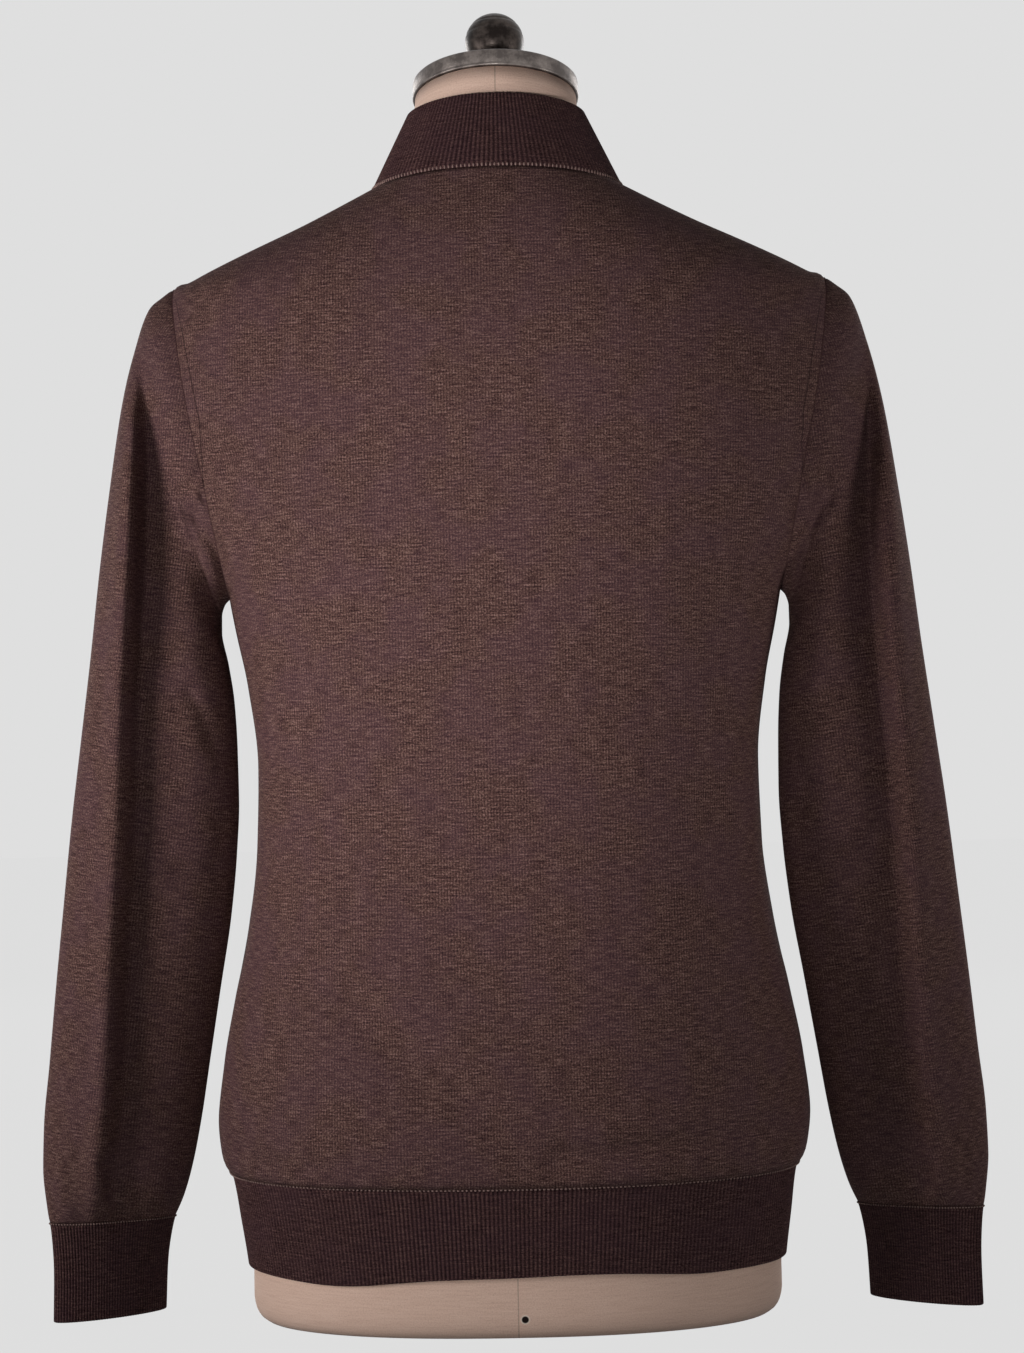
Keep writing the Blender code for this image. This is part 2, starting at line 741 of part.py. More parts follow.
def zip_frame(drop):
    """Frame on the zip's centre line: X across, Y outward and Z up the collar's slope."""
    up = (collar_surface(1, -pi / 2) - collar_surface(0, -pi / 2)).normalized()
    out = Vector((0, -up.z, up.y))
    depth = COLLAR_WALL + TAPE_GAP + TAPE_WALL / 2
    origin = collar_surface(1, -pi / 2) - out * depth - up * drop
    across = Vector((1, 0, 0))
    rotation = Matrix((across, out, up)).transposed().to_4x4()
    return Matrix.Translation(origin) @ rotation


# The slider's parts, in its own frame, with the tapes' middle plane at 0
SLIDER_DROP = 10.0
SLIDER_HALF_WIDTH = 4.6
SLIDER_HALF_LENGTH = 5.5
PLATE_INNER = 0.85
PLATE_OUTER = 2.15
CORE_HALF_WIDTH = 2.2
CORE_HALF_DEPTH = 1.15
CORE_LENGTH = 8.0
BRIDGE_HALF_WIDTH = 1.0
BRIDGE_LOW = -2.2
BRIDGE_HIGH = 3.4
BRIDGE_LEG = 1.2
BRIDGE_OPENING = 4.5
BRIDGE_TOP = 5.4
PIN_UP = 0.6
PIN_OUT = 3.35
PULL_THICKNESS = 1.0
PULL_HALF_WIDTH = 3.2
PULL_WINDOW_HALF_WIDTH = 1.7
PULL_WINDOW_END = 5.2
PULL_WAIST = 8.0
PULL_END_RADIUS = 3.6
PULL_LENGTH = 24.0
CUTTER_DEPTH = 4.0

# The top stops, clamped on the tapes above the slider, and the bottom box between the tapes
STOP_SIZE = (2.4, 1.2, 2.2)
STOP_X = 4.4
STOP_OUT = 1.4
STOP_DROP = 2.6
ZIP_BOX_SIZE = (4.8, 3.0, 9.0)


def plate(outline, thickness):
    """Flat plate of an outline in X and Z, its thickness along Y about the middle plane."""
    bm = bmesh.new()
    base = bm.faces.new([bm.verts.new((x, -thickness / 2, z)) for x, z in outline])
    raised = bmesh.ops.extrude_face_region(bm, geom=[base])["geom"]
    moved = [item for item in raised if isinstance(item, bmesh.types.BMVert)]
    bmesh.ops.translate(bm, vec=(0, thickness, 0), verts=moved)
    return bm


def slider_solids():
    """The slider's boxes: each its size and centre, in the slider's frame."""
    plate_middle = (PLATE_INNER + PLATE_OUTER) / 2
    wing = (2 * SLIDER_HALF_WIDTH, PLATE_OUTER - PLATE_INNER, 2 * SLIDER_HALF_LENGTH)
    core = (2 * CORE_HALF_WIDTH, 2 * CORE_HALF_DEPTH, CORE_LENGTH)
    leg = (2 * BRIDGE_HALF_WIDTH, BRIDGE_TOP - plate_middle, BRIDGE_LEG)
    leg_middle = (BRIDGE_TOP + plate_middle) / 2
    top = (2 * BRIDGE_HALF_WIDTH, BRIDGE_TOP - BRIDGE_OPENING, BRIDGE_HIGH - BRIDGE_LOW)
    return (
        (wing, (0, plate_middle, 0)),
        (wing, (0, -plate_middle, 0)),
        (core, (0, 0, 0)),
        (leg, (0, leg_middle, BRIDGE_LOW + BRIDGE_LEG / 2)),
        (leg, (0, leg_middle, BRIDGE_HIGH - BRIDGE_LEG / 2)),
        (top, (0, (BRIDGE_OPENING + BRIDGE_TOP) / 2, (BRIDGE_LOW + BRIDGE_HIGH) / 2)),
    )


def joined(name, solids, frame, finish_material, collection, cutters):
    """One solid from boxes that overlap, placed by a frame in millimetres."""
    first = None
    for i, (size, centre) in enumerate(solids):
        bm = box(size, centre)
        bmesh.ops.transform(bm, matrix=frame, verts=bm.verts)
        target = collection if i == 0 else cutters
        made = finish(name if i == 0 else f"{name}_tool_{i}", bm, finish_material, target)
        if i == 0:
            first = made
            continue
        made.hide_render = True
        made.display_type = "WIRE"
        union = first.modifiers.new(f"add_{i}", "BOOLEAN")
        union.operation = "UNION"
        union.object = made
    return first


def pull_outline():
    """The pull tab's outline: an eye at the top and a tongue that widens to a round end."""
    end_middle = PULL_END_RADIUS - PULL_LENGTH
    end = [
        (PULL_END_RADIUS * sin(t), end_middle - PULL_END_RADIUS * cos(t))
        for t in even_steps(-pi / 2, pi / 2, PULL_END_STEPS)
    ]
    left = [(-PULL_HALF_WIDTH, PULL_THICKNESS / 2), (-PULL_HALF_WIDTH, -PULL_WAIST)]
    right = [(PULL_HALF_WIDTH, -PULL_WAIST), (PULL_HALF_WIDTH, PULL_THICKNESS / 2)]
    return [*left, *end, *right]


def pull_tab(frame, finish_material, collection, cutters):
    """The pull tab, hanging from the slider's bridge by the bar above its window."""
    hinge = frame @ Matrix.Translation((0, PIN_OUT, PIN_UP))
    body = plate(pull_outline(), PULL_THICKNESS)
    bmesh.ops.transform(body, matrix=hinge, verts=body.verts)
    made = finish("zip_pull", body, finish_material, collection)
    window_height = PULL_WINDOW_END - PULL_THICKNESS / 2
    window_size = (2 * PULL_WINDOW_HALF_WIDTH, CUTTER_DEPTH, window_height)
    window = box(window_size, (0, 0, -PULL_THICKNESS / 2 - window_height / 2))
    bmesh.ops.transform(window, matrix=hinge, verts=window.verts)
    cutter = finish("zip_pull_window", window, finish_material, cutters)
    cutter.hide_render = True
    cutter.display_type = "WIRE"
    cut = made.modifiers.new("window", "BOOLEAN")
    cut.operation = "DIFFERENCE"
    cut.object = cutter
    return made


# ---- the dress form ---------------------------------------------------------------------

def plate_limit(x, height):
    """Hold a point behind the form's flat arm plate, with a soft shoulder."""
    share = (height - ARMPIT) / (SHOULDER_TIP - ARMPIT)
    plate = FORM_PLATE_LOW_X + (FORM_PLATE_HIGH_X - FORM_PLATE_LOW_X) * share
    start = plate - FORM_PLATE_SOFTNESS
    if share < 0 or abs(x) <= start:
        return x
    return copysign(plate - FORM_PLATE_SOFTNESS * exp((start - abs(x)) / FORM_PLATE_SOFTNESS), x)


def form_ring(height, inset_depth):
    """One ring of the form, inside the sweater's smooth surface."""
    ring = []
    for i in range(FORM_COLUMNS):
        turn = 2 * pi * i / FORM_COLUMNS
        depth = inset_depth + FORM_FRONT_RELIEF * max(0.0, -sin(turn)) ** 8
        point = body_surface(height, turn) - body_normal(max(height, HEM_BOTTOM), turn) * depth
        ring.append(Vector((plate_limit(point.x, height), point.y, point.z)))
    return ring


def collar_ring(share):
    """One ring of the form's neck, inside the collar."""
    ring = []
    for i in range(FORM_COLUMNS):
        turn = 2 * pi * i / FORM_COLUMNS
        depth = COLLAR_WALL + COLLAR_SEAT + FORM_FRONT_RELIEF * max(0.0, -sin(turn)) ** 8
        ring.append(collar_surface(share, turn) - collar_normal(share, turn) * depth)
    return ring


def neck_ring(radius, drop):
    """A tilted ring at the top of the neck, a drop below the cap's underside."""
    ring = []
    for i in range(FORM_COLUMNS):
        turn = 2 * pi * i / FORM_COLUMNS
        x = radius * cos(turn)
        run = radius * sin(turn) * cos(NECK_TILT)
        ring.append(Vector((x, NECK_CENTRE_Y + run, NECK_TOP_Z - drop + run * tan(NECK_TILT))))
    return ring


def form_torso():
    """The limbless form, closed by its flat underside and the top of its neck."""
    rings = [form_ring(row.height, row.inset) for row in FORM]
    rings += [collar_ring(share) for share in NECK_SHARES]
    rings.append(neck_ring(NECK_TOP_RADIUS, SEAT_GAP))
    bm = bmesh.new()
    made = [[bm.verts.new(p) for p in ring] for ring in rings]
    for low, high in zip(made, made[1:]):
        patch(bm, low, high, True)
    bm.faces.new(made[0])
    bm.faces.new(made[-1])
    return bm


def turned(name, profile, frame, finish_material, collection):
    """A turned solid: its profile runs down the outer side, in millimetres, round Z."""
    mesh = bpy.data.meshes.new(name)
    points = [(radius * MM, 0, height * MM) for radius, height in profile]
    mesh.from_pydata(points, [(i, i + 1) for i in range(len(points) - 1)], [])
    mesh.materials.append(finish_material)
    made = bpy.data.objects.new(name, mesh)
    location, rotation, _ = frame.decompose()
    made.location = location * MM
    made.rotation_mode = "QUATERNION"
    made.rotation_quaternion = rotation
    collection.objects.link(made)
    screw = made.modifiers.new("turn", "SCREW")
    screw.steps = TURNED_STEPS
    screw.render_steps = TURNED_STEPS
    screw.use_merge_vertices = True
    screw.merge_threshold = 0.00001
    screw.use_smooth_shade = True
    return made


def cap_profile():
    """Down the cap: a low dome, a rounded rim and a flat underside."""
    dome = [
        (CAP_DOME_RADIUS * sin(t), CAP_RIM + CAP_DOME * cos(t))
        for t in even_steps(0, pi / 2, DOME_STEPS)
    ]
    third = CAP_EDGE_ROUND / 3
    edge = [
        (CAP_RADIUS - CAP_EDGE_ROUND, CAP_RIM - third),
        (CAP_RADIUS, CAP_RIM - third - CAP_EDGE_ROUND),
    ]
    foot = [(CAP_RADIUS, CAP_FOOT_ROUND), (CAP_RADIUS - CAP_FOOT_ROUND, 0)]
    return [*dome, *edge, *foot, (0, 0)]


def knob_profile():
    """Down the knob: a ball, its stem and a flared foot."""
    stem_turn = pi - asin(KNOB_STEM_RADIUS / KNOB_BALL_RADIUS)
    ball = [
        (KNOB_BALL_RADIUS * sin(t), KNOB_BALL_HEIGHT + KNOB_BALL_RADIUS * cos(t))
        for t in even_steps(0, stem_turn, BALL_STEPS)
    ]
    flare = [(KNOB_STEM_RADIUS, KNOB_STEM_FOOT), (KNOB_FOOT_RADIUS, KNOB_FOOT_HEIGHT)]
    return [*ball, *flare, (KNOB_FOOT_RADIUS, 0), (0, 0)]


def cap_frame():
    """Frame of the cap's underside, tilted down towards the front."""
    seat = Matrix.Translation((0, NECK_CENTRE_Y, NECK_TOP_Z))
    return seat @ Matrix.Rotation(NECK_TILT, 4, "X")


# ---- the whole --------------------------------------------------------------------------

def main():
    """Build every piece."""
    for item in list(bpy.data.objects):
        bpy.data.objects.remove(item, do_unlink=True)
    parts = bpy.data.collections.new("full_zip_sweater")
    cutters = bpy.data.collections.new("cutters")
    bpy.context.scene.collection.children.link(parts)
    bpy.context.scene.collection.children.link(cutters)

    jersey = material("melange jersey", (0.095, 0.060, 0.050), 0.9)
    ribbing = material("ribbed knit", (0.040, 0.020, 0.018), 0.9)
    tape_cloth = material("zip tape", (0.030, 0.018, 0.016), 0.8)
    zip_metal = material("zip metal", (0.10, 0.09, 0.085), 0.35, 1.0)
    linen = material("linen", (0.55, 0.42, 0.33), 0.85)
    dark_metal = material("dark metal", (0.035, 0.026, 0.024), 0.4, 1.0)

    finish("back", back_panel(), jersey, parts)
    finish("front_left", front_panel(1), jersey, parts)
    finish("front_right", front_panel(-1), jersey, parts)
    outer, inner = sleeve()
    finish("sleeve_left", wall(outer, inner, True), jersey, parts)
    finish("sleeve_right", wall(mirror_points(outer), mirror_points(inner), True), jersey, parts)
    finish("cuff_left", cuff(), ribbing, parts)
    finish("cuff_right", flip(cuff()), ribbing, parts)

    side = edge_turn(HEM_TOP, True)
    zip_edge = centre_turn(HEM_TOP, FRONT_EDGE_X)
    finish("hem_back", hem_length(side, pi - side), ribbing, parts)
    finish("hem_left", hem_length(zip_edge, -side), ribbing, parts)
    finish("hem_right", hem_length(pi + side, pi - zip_edge), ribbing, parts)
    finish("collar", collar_band(), ribbing, parts)

    finish("zip_tape_left", tape(1), tape_cloth, parts)
    finish("zip_tape_right", tape(-1), tape_cloth, parts)
    slider_frame = zip_frame(SLIDER_DROP)
    joined("zip_slider", slider_solids(), slider_frame, zip_metal, parts, cutters)
    pull_tab(slider_frame, zip_metal, parts, cutters)
    for side, name in ((1, "zip_stop_left"), (-1, "zip_stop_right")):
        stop = box(STOP_SIZE, (side * STOP_X, STOP_OUT, 0))
        bmesh.ops.transform(stop, matrix=zip_frame(STOP_DROP), verts=stop.verts)
        finish(name, stop, zip_metal, parts)
    foot = hem_surface(0, turn_beside(read(BODY, "edge_x", HEM_BOTTOM), TAPE_SLOT))
    depth = RIB_WALL + TAPE_GAP + TAPE_WALL / 2
    low_box = box(ZIP_BOX_SIZE, (0, foot.y + depth, foot.z + ZIP_BOX_SIZE[2] / 2))
    finish("zip_box", low_box, zip_metal, parts)

    finish("form_torso", form_torso(), linen, parts)
    frame = cap_frame()
    turned("neck_cap", cap_profile(), frame, dark_metal, parts)
    knob_seat = frame @ Matrix.Translation((0, 0, CAP_RIM + CAP_DOME + SEAT_GAP))
    turned("neck_knob", knob_profile(), knob_seat, dark_metal, parts)


main()
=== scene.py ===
"""The looks of a full-zip knitted sweater, worn by a limbless dress form.

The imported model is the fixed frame. Sizes are millimetres in the frame's own axes: +Z up,
the zip faces -Y and the wearer's left is +X. Meshes are written in metres.
"""
import logging
from dataclasses import dataclass, field
from enum import Enum
from math import cos, pi, radians, sin, tan
from typing import Any, Callable, NamedTuple

import bmesh
import bpy
import numpy as np
from mathutils import Matrix, Vector


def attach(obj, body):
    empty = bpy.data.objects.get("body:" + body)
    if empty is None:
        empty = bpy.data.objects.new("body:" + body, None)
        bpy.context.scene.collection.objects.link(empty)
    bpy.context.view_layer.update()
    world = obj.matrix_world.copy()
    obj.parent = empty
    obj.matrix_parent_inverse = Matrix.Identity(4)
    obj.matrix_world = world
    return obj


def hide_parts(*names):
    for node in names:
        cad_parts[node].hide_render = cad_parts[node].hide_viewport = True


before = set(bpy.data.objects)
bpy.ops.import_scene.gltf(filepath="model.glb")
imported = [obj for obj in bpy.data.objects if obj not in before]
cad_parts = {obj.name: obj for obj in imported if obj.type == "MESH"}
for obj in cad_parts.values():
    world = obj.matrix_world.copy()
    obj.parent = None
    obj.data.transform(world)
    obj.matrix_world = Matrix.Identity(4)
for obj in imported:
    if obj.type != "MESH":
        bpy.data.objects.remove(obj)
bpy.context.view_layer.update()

MM = 0.001
GARMENT = "sweater_on_form"
METAL_NODES = ("zip_slider", "zip_pull", "zip_stop_left", "zip_stop_right", "zip_box")
CLOTH_UV = "cloth"
SEAM_MARK = "seam_distance"
FAR_AWAY = 999.0

log = logging.getLogger("full_zip_sweater")

Array = np.ndarray
Piece = bpy.types.Object
Finish = bpy.types.Material
Socket = bpy.types.NodeSocket
Mesh = bmesh.types.BMesh
Surface = Callable[[Array, Array], Array]
Inputs = dict[str | int, Any] | tuple[Any, ...]


class Side(Enum):
    """The wearer's left or right, as the sign of X."""

    LEFT = 1
    RIGHT = -1

    @property
    def suffix(self) -> str:
        """The word that ends a node's name."""
        return self.name.lower()


class Face(Enum):
    """The half of the garment that a fold lies on, as the sign of Y."""

    BACK = 1
    FRONT = -1


# ---- the garment's sizes ----------------------------------------------------------------

class BodyRow(NamedTuple):
    """One section of the body: its side edge and its depths."""

    height: float
    edge_x: float
    back_depth: float
    front_depth: float


class SleeveRow(NamedTuple):
    """One ring of the sleeve: its outer and inner ends, half-depths and front hollow."""

    along: float
    outer_x: float
    outer_y: float
    outer_z: float
    inner_x: float
    inner_y: float
    inner_z: float
    back: float
    front: float
    valley: float


class FormRow(NamedTuple):
    """How far the dress form lies inside the sweater's outer surface at a height."""

    height: float
    inset: float


class Table:
    """Rows of a shape, read as smooth curves that never overshoot their knots."""

    def __init__(self, kind: type[NamedTuple], rows: list[tuple[float, ...]]) -> None:
        """Keep the rows as columns.

        Args:
            kind: The kind of row, which names the columns. The first one is the key.
            rows: The rows' values.
        """
        names = kind._fields
        columns = np.array(rows, dtype=float).T
        self.keys = columns[0]
        self.columns = dict(zip(names[1:], columns[1:]))

    def read(self, column: str, at: Array | float) -> Array:
        """Smooth value of a column.

        Args:
            column: The column's name.
            at: The keys to read it at.

        Returns:
            One value for each key.
        """
        keys, values = self.keys, self.columns[column]
        secants = np.diff(values) / np.diff(keys)
        before, after = secants[:-1], secants[1:]
        rising = before * after > 0
        inner = np.where(rising, 2 * before * after / np.where(rising, before + after, 1), 0)
        slopes = np.concatenate(([secants[0]], inner, [secants[-1]]))
        at = np.clip(at, keys[0], keys[-1])
        i = np.clip(np.searchsorted(keys, at, side="right") - 1, 0, len(keys) - 2)
        span = keys[i + 1] - keys[i]
        t = (at - keys[i]) / span
        return (
            (2 * t**3 - 3 * t**2 + 1) * values[i]
            + (t**3 - 2 * t**2 + t) * slopes[i] * span
            + (3 * t**2 - 2 * t**3) * values[i + 1]
            + (t**3 - t**2) * slopes[i + 1] * span
        )


@dataclass(frozen=True)
class Cut:
    """The sweater's driving sizes, as its maker would note them."""

    jersey_wall: float = 1.6
    rib_wall: float = 2.4
    collar_wall: float = 3.0
    hem_bottom: float = 34.0
    hem_top: float = 91.6
    body_foot: float = 92.0
    armpit: float = 450.0
    shoulder_tip: float = 641.0
    neckline: float = 703.0
    seam_gap: float = 0.1
    armhole_gap: float = 0.05
    armhole_half_depth: float = 58.0
    neck_back_rise: float = 6.0
    neck_front_drop: float = 21.0
    hem_back_rise: float = 3.0
    roundness: float = 2.3
    collar_half_width: float = 55.0
    collar_back: float = 51.0
    collar_front: float = 66.0
    collar_side_z: float = 752.0
    collar_back_z: float = 758.0
    collar_front_z: float = 736.0
    collar_foot_share: float = 0.009
    sleeve_end: float = 568.0
    cuff_start: float = 569.0
    cuff_end: float = 629.0
    front_edge_x: float = 6.5
    tape_slot: float = 2.8
    tape_width: float = 12.0
    tape_wall: float = 0.9
    tape_gap: float = 0.6
    hem_rib: float = 2.57
    collar_rib: float = 2.57
    cuff_rib: float = 1.8
    rib_relief: float = 0.42


CUT = Cut()

BODY_TABLE = Table(BodyRow, [
    (34, 168.5, 108, 112),
    (60, 171.2, 110, 113),
    (91.6, 173.9, 112, 114),
    (92, 175.5, 114, 116),
    (104, 181.0, 119, 118),
    (128, 184.5, 123, 119),
    (160, 181.5, 123, 118),
    (200, 174.0, 119, 116),
    (245, 165.0, 112, 114),
    (295, 158.5, 105, 113),
    (345, 157.0, 101, 115),
    (395, 162.5, 101, 120),
    (430, 169.5, 103, 123),
    (450, 173.0, 105, 125),
    (478, 177.0, 107, 127),
    (520, 184.0, 109, 127),
    (570, 193.5, 110, 123),
    (613, 200.5, 107, 116),
    (641, 204.0, 101, 108),
    (660, 169.5, 95, 100),
    (680, 125.5, 86, 90),
    (703, 79.0, 73, 78),
])

SLEEVE_TABLE = Table(SleeveRow, [
    (0, 204.0, 0, 641, 173.0, 0, 450, 58, 58, 0),
    (20, 218.5, 0, 634, 176.5, 0, 446, 61, 60, 0),
    (45, 230.0, 0, 606, 178.5, 0, 438.5, 61, 59, 2),
    (80, 238.5, 1, 572, 178.5, 0, 428, 57, 56, 5),
    (120, 246.7, 3, 522, 174.5, 1, 408, 53, 52, 8),
    (170, 254.0, 5, 470, 171.2, 2, 384, 49, 48, 10),
    (220, 260.5, 8, 415, 169.8, 3, 356, 46, 44, 11),
    (270, 267.2, 11, 363, 169.5, 3, 324, 43.5, 41, 12),
    (320, 273.7, 14, 312, 171.5, 3, 290, 41, 38, 12),
    (370, 279.2, 18, 260, 176.0, 3, 250, 39, 36, 12),
    (420, 284.2, 22, 211, 183.5, 2, 207, 37, 34, 12),
    (470, 288.6, 26, 163, 191.0, 2, 163, 35.5, 32, 12),
    (510, 292.0, 31, 124, 198.0, 0, 124, 33, 30, 11),
    (535, 292.5, 34, 98, 203.5, 0, 98, 30, 27, 8),
    (555, 290.5, 36, 77, 209.5, 0, 77, 23, 21, 3),
    (568, 288.5, 37.5, 65.4, 215.0, 0, 63.9, 14, 14, 0),
    (569, 288.3, 37.5, 65.0, 215.2, 0, 63.5, 13.8, 13.8, 0),
    (596, 286.3, 38, 36, 220.5, -1, 36, 12, 12, 0),
    (629, 287.0, 38.5, 3.8, 222.3, -1.5, 4.8, 12, 12, 0),
])

# The form keeps its visible neck and foot. Under the cloth it stands a little further in.
FORM_TABLE = Table(FormRow, [
    (0, 10.4),
    (2.5, 6.8),
    (7, 4.2),
    (14, 2.9),
    (34, 3.1),
    (60, 3.7),
    (88, 4.8),
    (128, 10.5),
    (200, 9.5),
    (345, 9.0),
    (450, 11.5),
    (520, 13.0),
    (570, 11.0),
    (641, 8.0),
    (680, 4.5),
    (703, 4.2),
])


class ValleyRow(NamedTuple):
    """The long valley down a sleeve's back: where it runs, how deep and how wide it is."""

    height: float
    left_x: float
    right_x: float
    depth: float
    floor: float


VALLEY_TABLE = Table(ValleyRow, [
    (58, 249, 250, 0, 20),
    (74, 248, 249, 4, 24),
    (92, 246, 248, 8, 36),
    (134, 242, 245, 12, 50),
    (230, 236, 240, 14, 56),
    (325, 230, 236, 16, 56),
    (380, 228, 232, 18, 50),
    (440, 224, 228, 21, 38),
    (500, 220.5, 227, 21, 27),
    (545, 219.5, 228, 17, 19),
    (585, 221, 227, 8, 10),
    (612, 222, 224, 0, 10),
])


class Fold(NamedTuple):
    """A soft trough (or ridge, if its depth is negative) along points seen from one face."""

    face: Face
    path: tuple[tuple[float, float], ...]
    half_width: float
    depth: float


BODY_FOLDS = (
    Fold(Face.BACK, ((92, 196), (52, 160), (8, 126), (-22, 112)), 15, 3.6),
    Fold(Face.BACK, ((70, 210), (30, 178), (-12, 146)), 17, -1.6),
    Fold(Face.BACK, ((-30, 110), (-90, 116), (-150, 122)), 8, 2.8),
    Fold(Face.BACK, ((-20, 124), (-90, 131), (-150, 136)), 10, -1.4),
    Fold(Face.BACK, ((168, 112), (146, 104), (118, 99)), 6, 2.0),
    Fold(Face.BACK, ((118, 300), (146, 262), (160, 226)), 14, 1.6),
    Fold(Face.BACK, ((-122, 316), (-148, 276), (-160, 232)), 14, 1.4),
    Fold(Face.BACK, ((-60, 420), (-96, 380)), 24, 1.0),
    Fold(Face.FRONT, ((130, 206), (96, 172), (62, 136)), 15, 3.6),
    Fold(Face.FRONT, ((-118, 194), (-92, 166), (-66, 132)), 15, 3.4),
    Fold(Face.FRONT, ((60, 640), (104, 560), (140, 500)), 20, 1.6),
    Fold(Face.FRONT, ((-58, 634), (-100, 556), (-138, 496)), 20, 1.6),
)

LEFT_SLEEVE_FOLDS = (
    Fold(Face.BACK, ((208, 283), (194, 281), (184, 283)), 4.5, 1.9),
    Fold(Face.BACK, ((206, 296), (194, 294), (186, 296)), 6, -1.0),
    Fold(Face.BACK, ((196, 392), (188, 376), (183, 358)), 5, 1.8),
    Fold(Face.BACK, ((252, 104), (248, 84), (246, 68)), 4.5, 2.6),
    Fold(Face.BACK, ((236, 98), (234, 82), (234, 68)), 4, 1.6),
    Fold(Face.BACK, ((272, 96), (270, 82), (269, 68)), 5, 1.2),
    Fold(Face.FRONT, ((214, 300), (196, 290), (178, 292)), 7, 3.0),
    Fold(Face.FRONT, ((216, 330), (200, 322), (184, 326)), 8, 2.0),
    Fold(Face.FRONT, ((268, 104), (262, 84), (258, 68)), 5, 2.4),
    Fold(Face.FRONT, ((236, 100), (238, 84), (240, 68)), 5, 2.0),
)

RIGHT_SLEEVE_FOLDS = (
    Fold(Face.BACK, ((222, 290), (204, 287), (188, 289)), 4.5, 2.6),
    Fold(Face.BACK, ((220, 303), (204, 300), (192, 302)), 6, -1.2),
    Fold(Face.BACK, ((200, 394), (192, 378), (188, 362)), 5, 1.6),
    Fold(Face.BACK, ((262, 110), (256, 92), (252, 74)), 4.5, 2.6),
    Fold(Face.BACK, ((240, 102), (238, 84), (238, 70)), 4.5, 1.4),
    Fold(Face.FRONT, ((210, 306), (194, 298), (178, 300)), 7, 2.8),
    Fold(Face.FRONT, ((218, 338), (202, 330), (186, 333)), 8, 2.0),
    Fold(Face.FRONT, ((264, 106), (258, 86), (254, 70)), 5, 2.2),
)

# Folds under the arms, which run on across the armhole seam. Both are drawn at positive X.
LEFT_ARM_FOLDS = (
    Fold(Face.BACK, ((150, 537), (173, 534), (184, 528), (193, 518), (196, 507), (190, 500)), 4, 4.8),
    Fold(Face.BACK, ((189, 501), (181, 487), (175, 473), (172, 456)), 6, 6.5),
    Fold(Face.BACK, ((178, 528), (185, 517), (183, 504)), 4, -3.0),
    Fold(Face.BACK, ((165, 525), (173, 518), (175, 505)), 3.5, 2.2),
    Fold(Face.FRONT, ((150, 534), (172, 524), (184, 502), (176, 466)), 7, 4.6),
)

RIGHT_ARM_FOLDS = (
    Fold(Face.BACK, ((184, 536), (197, 520), (201, 506), (191, 492), (183, 478), (178, 458)), 5.5, 5.5),
    Fold(Face.BACK, ((180, 524), (187, 510)), 4, -2.2),
    Fold(Face.FRONT, ((152, 530), (174, 520), (185, 498), (175, 468)), 7, 4.2),
)


# ---- surfaces ---------------------------------------------------------------------------

def signed_power(value: Array, exponent: float) -> Array:
    """Signed power, which keeps a superellipse's four quarters alike."""
    return np.copysign(np.abs(value) ** exponent, value)


def unit(vectors: Array) -> Array:
    """Vectors of length one, along the last axis."""
    return vectors / np.maximum(np.linalg.norm(vectors, axis=-1, keepdims=True), 1e-12)


def stack(x: Array, y: Array, z: Array) -> Array:
    """Points from coordinates that broadcast against each other."""
    return np.stack(np.broadcast_arrays(x, y, z), axis=-1).astype(float)


def paired(first: Array | float, second: Array | float) -> list[Array]:
    """Two arrays of one shape, broadcast against each other."""
    return np.broadcast_arrays(np.asarray(first, float), np.asarray(second, float))


def bell(away: Array, reach: Array | float) -> Array:
    """A soft bump, one in its middle, that fades out over a reach."""
    return np.exp(-((away / reach) ** 2))


def oval(half_width: Array | float, depth: Array, turn: Array) -> tuple[Array, Array]:
    """X and Y of a section's rounded outline at a turn."""
    power = 2 / CUT.roundness
    return half_width * signed_power(np.cos(turn), power), depth * signed_power(np.sin(turn), power)


def grid_normals(points: Array, closed: bool) -> Array:
    """Normals of a grid of points, along rows x columns.

    Args:
        points: The grid, whose columns run round the body as seen from above.
        closed: True if the last column repeats the first.

    Returns:
        Unit normals, outward where rows rise and columns run anticlockwise.
    """
    ahead = np.gradient(points, axis=0)
    around = np.gradient(points, axis=1)
    if closed:
        joined = points[:, 1] - points[:, -2]
        around[:, 0] = joined
        around[:, -1] = joined
    return unit(np.cross(around, ahead))


def running(steps: Array) -> Array:
    """Running sums along each row, from nothing."""
    return np.concatenate((np.zeros((len(steps), 1)), np.cumsum(steps, axis=1)), axis=1)


def row_arc(points: Array) -> Array:
    """Length along each row of a grid, from its first column."""
    return running(np.linalg.norm(np.diff(points, axis=1), axis=-1))


def line_arc(line: Array) -> Array:
    """Length along a line of points, from its first."""
    return row_arc(line[None])[0]


def read_along(values: Array, reach: Array, at: Array | float) -> Array:
    """Points or normals of a line, read at lengths along it."""
    return np.stack([np.interp(at, reach, values[:, k]) for k in range(3)], axis=-1)


def side_distance(arc: Array) -> Array:
    """Distance to the nearer end of each row, from the lengths along it."""
    return np.minimum(arc, arc[:, -1:] - arc)


